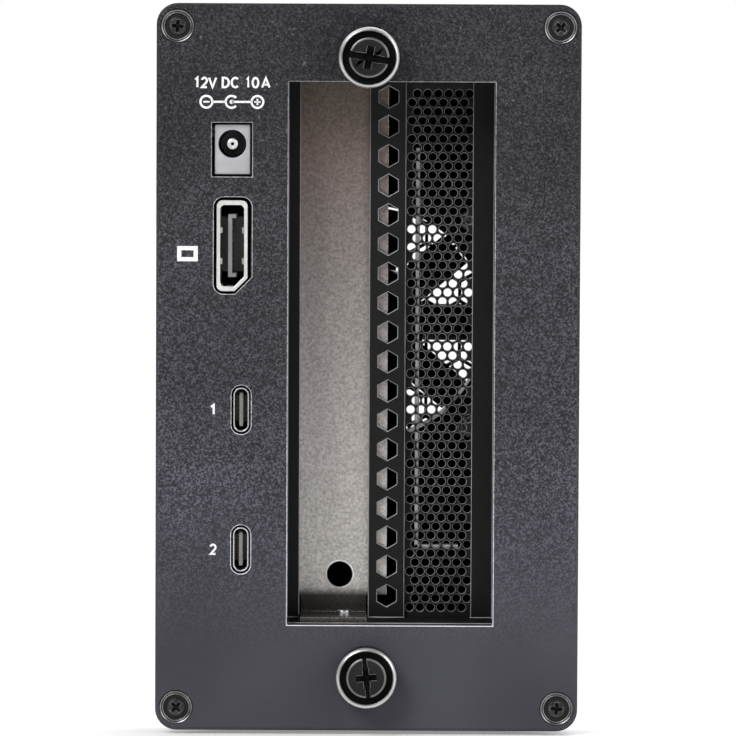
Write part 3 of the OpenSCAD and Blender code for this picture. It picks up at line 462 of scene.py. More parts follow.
def add_piece(name, mesh, finishes, body, slot, stands_for=(), smooth_deg=SMOOTH_DEG):
    """An object with its finishes and its body, with the CAD nodes that it replaces hidden. Its slot
    argument is not used.
    """
    obj = linked(name, mesh)
    for finish in finishes:
        mesh.materials.append(FINISHES[finish])
    smooth_mesh(mesh, smooth_deg)
    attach(obj, body)
    if stands_for:
        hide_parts(*stands_for)
    return obj


def piece(name, shape, finishes, body, slot, stands_for=(), smooth_deg=SMOOTH_DEG):
    """Makes an object of a Shape."""
    return add_piece(name, mesh_of(name, shape), finishes, body, slot, stands_for, smooth_deg)


def round_edges(obj, width_mm, edge_kind=None, segments=2, angle_deg=30, stays=None):
    """Rounds the sharp edges, apart from those whose middle makes stays(point) true."""
    work = bmesh.new()
    work.from_mesh(obj.data)
    weight = work.edges.layers.float.new("bevel_weight_edge")
    for edge in work.edges:
        middle = (edge.verts[0].co + edge.verts[1].co) / 2
        if (len(edge.link_faces) == 2 and edge.calc_face_angle() > math.radians(angle_deg)
                and not (stays and stays(middle))):
            edge[weight] = 1.0
    work.to_mesh(obj.data)
    work.free()
    bevel = obj.modifiers.new("edges", "BEVEL")
    bevel.width = width_mm * MM
    bevel.segments = segments
    bevel.limit_method = "WEIGHT"
    bevel.use_clamp_overlap = False
    bevel.loop_slide = False
    bevel.harden_normals = True
    if edge_kind is not None:
        bevel.material = edge_kind


def body_and_slot(node):
    """A CAD node's moving body and material slot."""
    bodies = frame["record"]["behaviour"]["bodies"]
    body = next(body for body, nodes in bodies.items() if node in nodes)
    slot = next(s["material_slot"] for s in frame["record"]["subparts"] if s["node"] == node)
    return body, slot


# Distances and angle under which corners join and faces merge in a CAD node's copy
JOIN_MM = 0.002
TINY_MM = 0.001
FLAT_DEG = 0.6


def clean_copy(node):
    """A CAD node's mesh with its corners joined and its flat faces whole."""
    source = frame["nodes"][node].data
    work = bmesh.new()
    for vertex in source.vertices:
        work.verts.new(vertex.co)
    work.verts.ensure_lookup_table()
    for polygon in source.polygons:
        work.faces.new([work.verts[i] for i in polygon.vertices])
    bmesh.ops.remove_doubles(work, verts=work.verts, dist=JOIN_MM * MM)
    bmesh.ops.dissolve_degenerate(work, edges=work.edges, dist=TINY_MM * MM)
    bmesh.ops.dissolve_limit(
        work, angle_limit=math.radians(FLAT_DEG), verts=work.verts, edges=work.edges)
    bmesh.ops.recalc_face_normals(work, faces=work.faces)
    mesh = bpy.data.meshes.new(node + "_made")
    work.to_mesh(mesh)
    work.free()
    return mesh


def in_outline(point):
    """True on the chamfer that runs round the rear panel and the bezel."""
    return (abs(point.x) > (CASE_W / 2 - OUTLINE_IN) * MM
            or abs(point.z - MID_Z * MM) > (CASE_H / 2 - OUTLINE_IN) * MM)


def at_panel_rim(point):
    """True on the outline and on the countersinks of the corner screws."""
    return in_outline(point) or math.hypot(
        abs(point.x) - SCREW_X * MM, abs(point.z - MID_Z * MM) - SCREW_Z * MM) < SINK_REACH * MM


def in_fan_bore(point):
    return math.hypot(point.x, point.z - MID_Z * MM) < (FAN_TIP_R + FAN_RIM) * MM


# CAD nodes that keep their shape: the rounding of their edges in millimetres, and a finish. A
# second finish, lighter, goes on the rounded edges as a painted highlight.
DRESSED = {
    "rear_panel": (0.14, "coat", "coat_edge_highlight"), "outer_sleeve": (0.15, "side_coat"),
    "front_bezel": (0.22, "side_coat"), "panel_bushes": (0.1, "bush"),
    "rubber_feet": (0.25, "rubber"), "rear_frame": (0.14, "frame_sheet", "frame_edge_highlight"),
    "slot_cover": (0.1, "zinc_sheet", "zinc"), "inner_tray": (0.15, "black_sheet"),
    "fan_wall": (0.12, "black_sheet"), "press_nuts": (0.2, "zinc"), "dc_jack_body": (0.22, "jack"),
    "display_socket_shell": (0.16, "bright"), "display_socket_tongue": (0.08, "tongue"),
    "data_port_shells": (0.1, "zinc"), "data_port_tongues": (0.07, "tongue"),
    "fan_frame": (0.35, "fan"), "fan_screws": (0.15, "zinc"), "light_pipe": (0.25, "clear"),
    "led_board": (0.08, "board"), "bezel_screws": (0.15, "zinc"), "board_screws": (0.15, "zinc"),
    "slot_board_screws": (0.15, "zinc"), "slot_cover_screw": (0.15, "zinc"),
    "board_standoffs": (0.15, "brass"), "slot_board_spacers": (0.15, "brass"),
    "main_board": (0.1, "board"), "slot_board": (0.1, "board"), "controller_chip": (0.12, "chip"),
    "small_chips": (0.1, "chip"), "heat_sink": (0.06, "sink"), "heat_sink_pins": (0.2, "pin"),
    "power_coils": (0.5, "chip"), "capacitors": (0.5, "can"), "card_slot": (0.12, "slot"),
    "card_slot_contacts": (0.04, "gold"), "card_latch": (0.2, "ivory"),
    "link_connector": (0.2, "ivory"), "fan_header": (0.12, "ivory"), "fan_plug": (0.15, "ivory"),
    "lead_clip": (0.15, "ivory"), "thumbscrew_top_washer": (0.12, "bush"),
    "thumbscrew_bottom_washer": (0.12, "bush"),
}
SHARP_STAYS = {"rear_panel": at_panel_rim, "front_bezel": in_outline, "fan_frame": in_fan_bore}
EDGE_SEGMENTS = {"rubber_feet": 3}


def dress_nodes():
    """Copies of CAD nodes with their finishes and rounded edges."""
    for node, (width, *finishes) in DRESSED.items():
        obj = add_piece(node + "_made", clean_copy(node), finishes, *body_and_slot(node), (node,))
        round_edges(obj, width, 1 if len(finishes) > 1 else None, EDGE_SEGMENTS.get(node, 2),
                    stays=SHARP_STAYS.get(node))


def behind(depth):
    """A test that is true on what lies deeper in the case than a depth."""
    return lambda point: point.y > (FACE_Y + depth) * MM


def outline(stretches):
    """An outline's points, given in stretches with their finishes, and each step's finish."""
    profile = [point for kind, points in stretches for point in points]
    kinds = [kind for kind, points in stretches for point in points]
    return profile, kinds[:-1]


def circle(radius, y, steps, at, wave=None):
    """Points round an axis along the case's depth."""
    points = []
    for i in range(steps):
        turn = 2 * math.pi * i / steps
        r = radius + (wave(i) if wave else 0.0)
        points.append((at[0] + r * math.cos(turn), y, at[1] + r * math.sin(turn)))
    return points


def lathe(shape, at, profile, steps, kinds=None, wave=None, waved=(), joined=False):
    """Turns a profile of (radius, depth) round an axis along the depth."""
    rings = [
        circle(r, y, steps, at, wave if i in waved else None)
        for i, (r, y) in enumerate(profile)
    ]
    shape.tube(rings, kinds, joined)


def carve(obj, shape, finishes):
    """Cuts a Shape out of an object for good. The cut's faces bring their own finishes."""
    tool = mesh_of("cutter", shape)
    for name in finishes:
        tool.materials.append(FINISHES[name])
    cutter = linked("cutter", tool)
    cut = obj.modifiers.new("cut", "BOOLEAN")
    cut.operation = "DIFFERENCE"
    cut.solver = "EXACT"
    cut.object = cutter
    bpy.context.view_layer.update()
    graph = bpy.context.evaluated_depsgraph_get()
    mesh = bpy.data.meshes.new_from_object(obj.evaluated_get(graph))
    obj.modifiers.remove(cut)
    obj.data = mesh
    bpy.data.objects.remove(cutter)
    smooth_mesh(mesh)


# Recesses: how far cutters stand out, a cross's depth and smaller foot, and the edges' angle
CUT_OVER = 0.5
CROSS_DEEP = 1.2
CROSS_FOOT_SHARE = 0.35
CROSS_FOOT_WIDTH_SHARE = 0.61
CUT_EDGE_DEG = 50


def turned(points, y, at, turn_deg):
    """Points (across, up) turned about a place of the rear face, at one depth."""
    turn = math.radians(turn_deg)
    c, s = math.cos(turn), math.sin(turn)
    return [(at[0] + a * c - b * s, y, at[1] + a * s + b * c) for a, b in points]


def cross_points(reach, half):
    """The twelve corners of a cross."""
    corners = []
    for c, s in ((1, 0), (0, 1), (-1, 0), (0, -1)):
        for a, b in ((half, -half), (reach, -half), (reach, half)):
            corners.append((a * c - b * s, a * s + b * c))
    return corners


def cross_recess(at, reach, half, top, turn_deg, kind):
    """A cutter for a cross recess that narrows with its depth."""
    mouth = cross_points(reach, half)
    foot = cross_points(reach * CROSS_FOOT_SHARE, half * CROSS_FOOT_WIDTH_SHARE)
    shape = Shape()
    shape.tube([turned(points, y, at, turn_deg) for points, y in (
        (mouth, top - CUT_OVER), (mouth, top), (foot, top + CROSS_DEEP))], [kind, kind])
    return shape


def slot_recess(at, reach, half, top, deep, turn_deg, kind):
    """A cutter for a straight slot."""
    corners = [(-reach, -half), (reach, -half), (reach, half), (-reach, half)]
    shape = Shape()
    shape.tube([turned(corners, y, at, turn_deg) for y in (top - CUT_OVER, top + deep)], [kind])
    return shape


# How far in the middle point of a plate's rounded edge lies, as a share of its size
ROUND_SHARE = 0.3


def plate(loops, depths, edge, edge_kind):
    """A flat plate with holes: loops of (x, z) points, each with the step to its rounded edge."""
    low, high = depths
    middle = ROUND_SHARE * edge
    shape = Shape()
    fills = []
    for loop, steps in loops:
        rings = []
        for share, y in ((1.0, low), (ROUND_SHARE, low + middle), (0.0, low + edge),
                         (0.0, high - edge), (ROUND_SHARE, high - middle), (1.0, high)):
            rings.append(shape.ring([
                (x + share * edge * dx, y, z + share * edge * dz)
                for (x, z), (dx, dz) in zip(loop, steps)]))
        for i, kind in enumerate((edge_kind, edge_kind, 0, edge_kind, edge_kind)):
            shape.strip(rings[i], rings[i + 1], kind)
        fills.append((rings[0], rings[-1]))
    for side in (0, 1):
        work = bmesh.new()
        corners = {}
        for pair in fills:
            made = []
            for number in pair[side]:
                vertex = work.verts.new(shape.points[number])
                corners[vertex] = number
                made.append(vertex)
            for i, vertex in enumerate(made):
                work.edges.new((vertex, made[(i + 1) % len(made)]))
        bmesh.ops.triangle_fill(work, use_beauty=True, edges=work.edges)
        for face in work.faces:
            shape.face([corners[v] for v in face.verts])
        work.free()
    return shape


def round_loop(x, z, radius, steps):
    """A round hole's points, and the way from the hole into the sheet at each."""
    turns = [2 * math.pi * i / steps for i in range(steps)]
    return ([(x + radius * math.cos(t), z + radius * math.sin(t)) for t in turns],
            [(math.cos(t), math.sin(t)) for t in turns])


# Vent window: a cover with staggered round holes, and a rib with a foot behind it, whose bright steel
# paints a highlight line seen through the holes
COVER_X = (6.35, 23.45)
COVER_Y = (15.2, 16.1)
COVER_EDGE = 0.15
MESH_HOLE = 1.62
MESH_STEPS = 20
MESH_PITCH = 2.12
MESH_ROW_DEG = 60
MESH_COLUMNS = 6
MESH_X = 8.76
MESH_END_GAP = 3.4
RIB_W = 0.9
RIB_D = 1.1
RIB_X = (9.6, 18.65)
RIB_Z = (-37.5, 44.2)
RIB_EDGE = 0.15


def make_vented_cover():
    node = "vented_cover"
    body, slot = body_and_slot(node)
    low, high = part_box(node)
    low_z, high_z = low[2] / MM - MID_Z, high[2] / MM - MID_Z
    corners = [(COVER_X[0], low_z), (COVER_X[1], low_z), (COVER_X[1], high_z), (COVER_X[0], high_z)]
    loops = [(corners, [(1, 1), (-1, 1), (-1, -1), (1, -1)])]
    pitch_z = MESH_PITCH * math.sin(math.radians(MESH_ROW_DEG))
    rows = int((SLOT_H - MESH_END_GAP) / pitch_z) + 1
    for row in range(rows):
        for column in range(MESH_COLUMNS):
            x = MESH_X + MESH_PITCH * (column + (row % 2) / 2)
            z = SLOT_Z + (row - (rows - 1) / 2) * pitch_z
            loops.append(round_loop(x, z, MESH_HOLE / 2, MESH_STEPS))
    # The holes' rounded rims and the cover's edges take a light grey as a painted highlight
    piece("vented_cover_made", plate(loops, COVER_Y, COVER_EDGE, 1), ("black_sheet", "black_rim_highlight"),
          body, slot, (node,))
    highlight_rib = Shape()
    upright = (RIB_X[0], RIB_X[0] + RIB_W)
    foot = (RIB_Z[0], RIB_Z[0] + RIB_W)
    for x, z in ((upright, RIB_Z), (RIB_X, foot)):
        highlight_rib.block((x[0], COVER_Y[1], z[0]), (x[1], COVER_Y[1] + RIB_D, z[1]))
    round_edges(piece("vented_cover_highlight_bar", highlight_rib, ("highlight_rib",), body, slot, (node,)), RIB_EDGE)


# Round hole of the slot cover: a rolled rim in bright metal that paints the hole's rim highlight, as
# (out of the hole's edge, depth from the sheet)
HOLE_AT = (-5.55, -42.8)
HOLE_R = 2.6
HOLE_STEPS = 64
RIM_BACK = (-0.04, -0.1)
RIM_FRONT = ((-0.04, 0.1), (0.06, -0.06), (0.2, -0.1), (0.34, -0.05), (0.38, 0.1))


def make_hole_rim_highlight():
    front, back = COVER_Y
    profile = [(HOLE_R + RIM_BACK[0], back + RIM_BACK[1])]
    profile += [(HOLE_R + out, front + deep) for out, deep in RIM_FRONT]
    shape = Shape()
    lathe(shape, HOLE_AT, profile, HOLE_STEPS, joined=True)
    piece("slot_cover_rim_highlight", shape, ("bright",), *body_and_slot("slot_cover"))


# Thumbscrews: threaded shank, knurled knob with a bright rim of painted highlight, and a slotted cap
# in a groove, with near-black painted shade in the groove and recesses and a grey painted highlight on
# the cap's rim and the recesses' edges
KNOB_STEPS = 144
KNURLS = 48
KNURL_DEEP = 0.09
KNOB_R = 6.1
KNURLED = [(KNOB_R, -1.35), (KNOB_R, -4.7)]
SHANK_R = 2.0
THREAD_RS = (1.98, 1.76)
THREAD_Y = 6.6
THREAD_STEP = 0.45
THREAD = [(THREAD_RS[i % 2], THREAD_Y - THREAD_STEP * i) for i in range(9)]
GROOVE_Y = -4.8
CAP_R = 4.05
CAP_Y = -5.8
CAP_SLOT_REACH = 4.4
CAP_CUT_EDGE = 0.1
CAP_CUT_DEPTH = 0.05
KNOB_LOOKS = ("knob", "knob_rim_highlight", "recess_painted_shade", "cap_rim_highlight")
KNOB_OUTLINE = (
    (0, [(POLE_R, 7.0), (1.5, 7.0)] + THREAD),
    (0, [(SHANK_R, 2.7), (SHANK_R, -0.8), (5.6, -0.8), (5.9, -1.0)] + KNURLED),
    (1, [(KNOB_R, -5.35), (6.03, -5.56), (5.6, -5.92), (5.46, -6.0)]),
    (2, [(5.36, -5.9), (5.32, GROOVE_Y), (CAP_R, GROOVE_Y)]),
    (3, [(CAP_R, -5.55), (3.98, -5.72), (3.8, -5.83), (3.7, -5.83)]),
    (0, [(3.6, CAP_Y), (POLE_R, CAP_Y)]))


def knurl(step):
    """How far a point of the knob's side stands in, along its straight knurls."""
    return -KNURL_DEEP * (1 + math.cos(2 * math.pi * step * KNURLS / KNOB_STEPS))


def make_thumbscrew(name, z, cross_deg, slot_deg, slot_w, slot_deep, cross_reach, cross_half):
    at = (0.0, z)
    profile, kinds = outline(KNOB_OUTLINE)
    waved = [i for i, point in enumerate(profile) if point in KNURLED]
    shape = Shape()
    lathe(shape, at, profile, KNOB_STEPS, kinds, knurl, waved)
    knob = piece(name + "_made", shape, KNOB_LOOKS, name, "knob_black", (name,))
    carve(knob, slot_recess(at, CAP_SLOT_REACH, slot_w / 2, CAP_Y, slot_deep, slot_deg, 2), KNOB_LOOKS)
    carve(knob, cross_recess(at, cross_reach, cross_half, CAP_Y, cross_deg, 2), KNOB_LOOKS)
    # The recesses' rounded edges take the cap rim's grey as a painted highlight
    round_edges(knob, CAP_CUT_EDGE, 3, 2, CUT_EDGE_DEG, behind(CAP_Y + CAP_CUT_DEPTH))


# Corner screws: a countersunk head with two bright rings of painted highlight round its dished face,
# and near-black painted shade in a ring groove and in the cross
SCREW_STEPS = 48
SCREW_CROSS_REACH = 1.3
SCREW_CROSS_HALF = 0.36
SCREW_FACE_Y = 0.06
SCREW_CUT_EDGE = 0.06
SCREW_CUT_DEPTH = 0.1
SCREW_TURN_DEG = 20
SCREW_TURN_STEP_DEG = 25
SCREW_LOOKS = ("knob", "screw_ring_highlight", "dark", "screw_face")
SCREW_OUTLINE = (
    (0, [(POLE_R, 12.0), (1.3, 12.0), (1.5, 11.6), (1.5, 1.9), (3.2, 0.14)]),
    (1, [(3.28, 0.03), (3.2, -0.02)]),
    (2, [(2.98, 0.06)]),
    (1, [(2.86, 0.2), (2.8, 0.08), (2.66, 0.05)]),
    (2, [(2.56, 0.14), (2.35, 0.5), (1.95, 0.5)]),
    (1, [(1.84, 0.3)]),
    (3, [(1.76, 0.14), (1.62, 0.08), (POLE_R, SCREW_FACE_Y)]))


def make_corner_screws():
    profile, kinds = outline(SCREW_OUTLINE)
    for x_side, across in ((-1, "left"), (1, "right")):
        for z_side, up in ((-1, "lower"), (1, "upper")):
            at = (x_side * SCREW_X, z_side * SCREW_Z)
            shape = Shape()
            lathe(shape, at, profile, SCREW_STEPS, kinds)
            made = piece("corner_screw_" + up + "_" + across, shape, SCREW_LOOKS, "case",
                         "knob_black", ("corner_screws",))
            turn_deg = SCREW_TURN_DEG + SCREW_TURN_STEP_DEG * x_side * z_side
            carve(made, cross_recess(at, SCREW_CROSS_REACH, SCREW_CROSS_HALF, SCREW_FACE_Y,
                                     turn_deg, 2), SCREW_LOOKS)
            round_edges(made, SCREW_CUT_EDGE, 1, 1, CUT_EDGE_DEG, behind(SCREW_CUT_DEPTH))


# Power inlet: a near-black sleeve of painted shade inside it, and a centre pin with a bore whose wall
# is painted black as shade
INLET_AT = (-27.3, 44.9)
INLET_STEPS = 48
INLET_SHADE_SLEEVE = [(2.74, 1.05), (2.74, 10.9), (2.5, 10.9), (2.5, 1.25), (2.6, 1.05)]
PIN_STEPS = 40
PIN_OUTLINE = (
    (1, [(0.32, 4.0)]),
    (0, [(0.32, 1.75), (0.42, 1.66), (0.85, 1.62), (1.06, 1.75), (1.15, 2.0)]),
    (0, [(1.15, 11.0), (0.02, 11.0)]))


def make_power_inlet():
    recess_painted_shade = Shape()
    lathe(recess_painted_shade, INLET_AT, INLET_SHADE_SLEEVE, INLET_STEPS, joined=True)
    piece("power_inlet_painted_shade", recess_painted_shade, ("recess_painted_shade",), "tray", "jack_plastic")
    # The pin's bore takes the black chip finish as painted shade
    profile, kinds = outline(PIN_OUTLINE)
    pin = Shape()
    lathe(pin, INLET_AT, profile, PIN_STEPS, kinds)
    piece("dc_jack_pin_made", pin, ("bright", "chip"), "tray", "zinc_steel", ("dc_jack_pin",))


# Contacts of each socket: how far they stand out, half their height, and their two depths
DISPLAY_CONTACT = (0.03, 0.16, (2.0, 12.0))
PORT_CONTACT = (0.05, 0.13, (1.7, 5.6))


def add_contact(shape, sizes, x, side, z):
    """A contact that stands out of a tongue's side at x."""
    out, half, depths = sizes
    low, high = sorted((x, x + side * out))
    shape.block((low, depths[0], z - half), (high, depths[1], z + half))


# Display socket: latch springs inside the shell, and the tongue's contacts
DISPLAY_X = -27.3
DISPLAY_Z = 24.5
SPRING_UP = 3.1
SPRING_WALL = 2.42
SPRING_SKIN = 0.02
SPRING_HALVES = (0.75, 0.55)
SPRING_CURVE = ((0.75, 0.0), (1.3, 0.42), (2.6, 0.48), (6.5, 0.0))
DISPLAY_TONGUE_T = 0.8
DISPLAY_CONTACTS = 20
DISPLAY_SPAN = 11.2


def make_display_socket():
    springs = Shape()
    wide, narrow = SPRING_HALVES
    for z in (DISPLAY_Z + SPRING_UP, DISPLAY_Z - SPRING_UP):
        for side in (-1, 1):
            wall = DISPLAY_X + side * SPRING_WALL
            rings = []
            for y, out in SPRING_CURVE:
                x = wall - side * (out + SPRING_SKIN)
                rings.append([(wall, y, z - wide), (x, y, z - narrow), (x, y, z + narrow),
                              (wall, y, z + wide)])
            springs.tube(rings)
    piece("display_socket_springs", springs, ("bright",), "tray", "zinc_steel")
    contacts = Shape()
    for i in range(DISPLAY_CONTACTS):
        z = DISPLAY_Z + (i / (DISPLAY_CONTACTS - 1) - 0.5) * DISPLAY_SPAN
        x, side = (DISPLAY_X, 1) if i % 2 else (DISPLAY_X - DISPLAY_TONGUE_T, -1)
        add_contact(contacts, DISPLAY_CONTACT, x, side, z)
    piece("display_socket_contacts", contacts, ("gold",), "tray", "contact_gold")


# Data ports: contacts on both sides of the tongues
PORT_X = -25.35
PORT_ZS = (-8.4, -36.5)
PORT_TONGUE_HALF_T = 0.35
PORT_CONTACTS = 12
PORT_PITCH = 0.5


def make_data_ports():
    contacts = Shape()
    for centre in PORT_ZS:
        for side in (-1, 1):
            for i in range(PORT_CONTACTS):
                z = centre + (i - (PORT_CONTACTS - 1) / 2) * PORT_PITCH
                add_contact(contacts, PORT_CONTACT, PORT_X + side * PORT_TONGUE_HALF_T, side, z)
    piece("data_port_contacts", contacts, ("gold",), "tray", "contact_gold")


# Fan: a rotor with twisted, curved blades on a dished hub
ROTOR_LOW = FAN_Y + 0.5
ROTOR_HIGH = FAN_Y + 11.5
ROTOR_STEPS = 72
SHAFT_R = 1.5
SHAFT_Y = FAN_Y + 14.9
HUB_OUTLINE = [
    (POLE_R, ROTOR_LOW + 0.9), (7.8, ROTOR_LOW + 0.9), (8.1, ROTOR_LOW + 0.6),
    (8.6, ROTOR_LOW + 0.55), (12.6, ROTOR_LOW + 0.05), (13.5, ROTOR_LOW + 0.2),
    (13.95, ROTOR_LOW + 0.8), (FAN_HUB_R, ROTOR_HIGH - 0.4), (13.6, ROTOR_HIGH),
    (SHAFT_R, ROTOR_HIGH), (SHAFT_R, SHAFT_Y), (POLE_R, SHAFT_Y)]
BLADES = 9
BLADE_STEPS = 8
BLADE_START_DEG = 40
BLADE_ROOT_IN = 0.6
BLADE_PITCH_DEG = 42
BLADE_TWIST_DEG = 14
BLADE_HALF_DEPTH = 4.5
BLADE_CAMBER = 0.9
BLADE_ROOT_CAMBER_SHARE = 0.6
BLADE_EDGE_T = 0.16
BLADE_BULGE = 0.5
BLADE_LIMIT = 5.35


def blade_section(start, share):
    """A blade's closed section, from its root at a share of 0 to its tip at 1."""
    r = FAN_HUB_R - BLADE_ROOT_IN + share * (FAN_TIP_R - FAN_HUB_R + BLADE_ROOT_IN)
    pitch = math.radians(BLADE_PITCH_DEG - BLADE_TWIST_DEG * share)
    c, s = math.cos(pitch), math.sin(pitch)
    half = BLADE_HALF_DEPTH / c
    grown = BLADE_ROOT_CAMBER_SHARE + (1 - BLADE_ROOT_CAMBER_SHARE) * share
    top, under = [], []
    for k in range(BLADE_STEPS + 1):
        u = -1 + 2 * k / BLADE_STEPS
        bulge = 1 - u * u
        camber = BLADE_CAMBER * bulge * grown
        thick = BLADE_EDGE_T + BLADE_BULGE * bulge
        for side, points in ((1, top), (-1, under)):
            off = camber + side * thick
            turn = start + (u * half * c + off * s) / r
            deep = max(-BLADE_LIMIT, min(BLADE_LIMIT, u * half * s - off * c))
            y = (ROTOR_LOW + ROTOR_HIGH) / 2 + deep
            points.append((r * math.cos(turn), y, -r * math.sin(turn)))
    return top + list(reversed(under))


def make_fan():
    shape = Shape()
    lathe(shape, (0.0, 0.0), HUB_OUTLINE, ROTOR_STEPS)
    for i in range(BLADES):
        start = math.radians(BLADE_START_DEG + i * 360 / BLADES)
        shape.tube([blade_section(start, step / BLADE_STEPS) for step in range(BLADE_STEPS + 1)])
    piece("fan_rotor_made", shape, ("fan",), "fan_rotor", "fan_plastic", ("fan_rotor",),
          CURVED_SMOOTH_DEG)


# White marks on the rear panel: the inlet's rating, its polarity and the sockets' marks
STROKE = 0.43
THIN_STROKE = 0.34
BOLD_STROKE = 0.85
PRINT_Y = (-0.03, 0.02)
MITRE_LIMIT = 0.45
NEAR = 0.01
FOLDED = 0.05
LETTER_H = 2.31
RATING_X = -34.93
RATING_Z = 56.0
RATING = (("1", 0.0, 0.84), ("2", 1.32, 1.41), ("V", 2.73, 1.84), ("D", 5.47, 1.65),
          ("C", 7.26, 1.88), ("1", 10.32, 0.67), ("0", 11.45, 1.56), ("A", 13.35, 1.91))
MINUS_X = -32.5
TIP_X = -27.45
PLUS_X = -22.3
POLARITY_Z = 53.3
POLARITY_R = 1.4
SIGN_HALF = 0.62
TIP_DOT_R = 0.22
TIP_DOT_STROKE = 0.4
TIP_GAP_DEG = 42
SCREEN_X = (-37.85, -34.55)
SCREEN_Z = (21.8, 24.0)
NUMERAL_X = -31.4
NUMERALS = (("1", -9.3, 0.55), ("2", -37.4, 1.0))


def arc_line(x, z, across, up, start_deg, end_deg, steps=14):
    """Points on part of an ellipse."""
    turns = [math.radians(start_deg + (end_deg - start_deg) * i / steps) for i in range(steps + 1)]
    return [(x + across * math.cos(t), z + up * math.sin(t)) for t in turns]


def glyph(letter, w, h):
    """The lines of a plain letter in a box w wide and h high."""
    lines = {
        "1": [[(0.0, 0.78 * h), (w, h), (w, 0.0)]],
        "2": [arc_line(w / 2, 0.7 * h, w / 2, 0.3 * h, 165, -38) + [(0.02 * w, 0.0), (w, 0.0)]],
        "V": [[(0.0, h), (w / 2, 0.0), (w, h)]],
        "A": [[(0.0, 0.0), (w / 2, h), (w, 0.0)], [(0.19 * w, 0.3 * h), (0.81 * w, 0.3 * h)]],
        "D": [[(0.0, 0.0), (0.0, h)] + arc_line(0.3 * w, h / 2, 0.7 * w, h / 2, 90, -90)
              + [(0.0, 0.0)]],
        "C": [arc_line(w / 2, h / 2, w / 2, h / 2, 45, 315, 20)],
        "0": [arc_line(w / 2, h / 2, w / 2, h / 2, 90, 450, 24)],
    }
    return lines[letter]


def stroke(shape, line, width):
    """Lays a flat raised line through points (x, z), with mitred corners."""
    sides = []
    closed = math.dist(line[0], line[-1]) < NEAR
    points = [p for i, p in enumerate(line) if i == 0 or math.dist(p, line[i - 1]) > NEAR]
    if closed:
        points = points[:-1]
    count = len(points)
    for i, (x, z) in enumerate(points):
        before = points[i - 1] if i or closed else points[0]
        after = points[(i + 1) % count] if i < count - 1 or closed else points[-1]
        one = Vector((x - before[0], z - before[1]))
        two = Vector((after[0] - x, after[1] - z))
        one = (one if one.length else two).normalized()
        two = (two if two.length else one).normalized()
        middle = (one + two).normalized() if (one + two).length > FOLDED else one
        reach = width / 2 / max(MITRE_LIMIT, middle.dot(two))
        sides.append(((x - middle.y * reach, z + middle.x * reach),
                      (x + middle.y * reach, z - middle.x * reach)))
    rings = [shape.ring([
        (a[0], PRINT_Y[1], a[1]), (a[0], PRINT_Y[0], a[1]),
        (b[0], PRINT_Y[0], b[1]), (b[0], PRINT_Y[1], b[1])]) for a, b in sides]
    for i in range(count if closed else count - 1):
        shape.strip(rings[i], rings[(i + 1) % count])
    if not closed:
        shape.face(reversed(rings[0]))
        shape.face(rings[-1])


def write_letter(shape, letter, x, z, width):
    """A letter's strokes, from the lower left corner of the lines' middles."""
    for line in glyph(letter, width, LETTER_H - STROKE):
        stroke(shape, [(x + a, z + b) for a, b in line], STROKE)


def draw_polarity(shape):
    """A minus and a plus in rings, joined by lines to an open ring and its dot."""
    z = POLARITY_Z
    ring_r = POLARITY_R - STROKE / 2
    for x in (MINUS_X, PLUS_X):
        stroke(shape, arc_line(x, z, ring_r, ring_r, 0, 360, 32), STROKE)
        stroke(shape, [(x - SIGN_HALF, z), (x + SIGN_HALF, z)], THIN_STROKE)
    stroke(shape, [(PLUS_X, z - SIGN_HALF), (PLUS_X, z + SIGN_HALF)], THIN_STROKE)
    stroke(shape, arc_line(TIP_X, z, ring_r, ring_r, TIP_GAP_DEG, 360 - TIP_GAP_DEG, 28), STROKE)
    stroke(shape, arc_line(TIP_X, z, TIP_DOT_R, TIP_DOT_R, 0, 360, 12), TIP_DOT_STROKE)
    stroke(shape, [(MINUS_X + ring_r, z), (TIP_X - ring_r, z)], STROKE)
    stroke(shape, [(TIP_X, z), (PLUS_X - ring_r, z)], STROKE)


def make_print():
    shape = Shape()
    inset = STROKE / 2
    for letter, at, wide in RATING:
        write_letter(shape, letter, RATING_X + at + inset, RATING_Z + inset, wide - STROKE)
    draw_polarity(shape)
    (left, right), (low, high) = SCREEN_X, SCREEN_Z
    stroke(shape, [(left, high), (right, high), (right, low), (left, low), (left, high)],
           BOLD_STROKE)
    for letter, at_z, wide in NUMERALS:
        write_letter(shape, letter, NUMERAL_X, at_z, wide)
    piece("panel_print", shape, ("print",), "case", "case_coat")


# The fan's three wires, from the plug on the board to the fan
LEAD_X = -26.2
LEAD_SHIFT = 1.3
LEAD_Z = -16.0
LEAD_PITCH = 1.8
LEAD_R = 0.6
LEAD_SIDES = 16
LEAD_BEND = 24.0
LEAD_BEND_STEPS = 24
LEAD_BEND_IN = 2.0


def make_leads():
    low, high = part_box("fan_lead")
    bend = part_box("main_board")[1][1] / MM - FACE_Y - LEAD_BEND_IN
    depths = [bend + LEAD_BEND * k / LEAD_BEND_STEPS for k in range(LEAD_BEND_STEPS + 1)]
    depths = [low[1] / MM - FACE_Y] + depths + [high[1] / MM - FACE_Y]
    for i, colour in ((-1, "black"), (0, "red"), (1, "yellow")):
        rings = []
        for y in depths:
            share = max(0.0, min(1.0, (y - bend) / LEAD_BEND))
            x = LEAD_X - LEAD_SHIFT * share * share * (3 - 2 * share)
            rings.append(circle(LEAD_R, y, LEAD_SIDES, (x, LEAD_Z + i * LEAD_PITCH)))
        shape = Shape()
        shape.tube(rings)
        piece("fan_wire_" + colour, shape, ("wire_" + colour,), *body_and_slot("fan_lead"),
              ("fan_lead",), CURVED_SMOOTH_DEG)


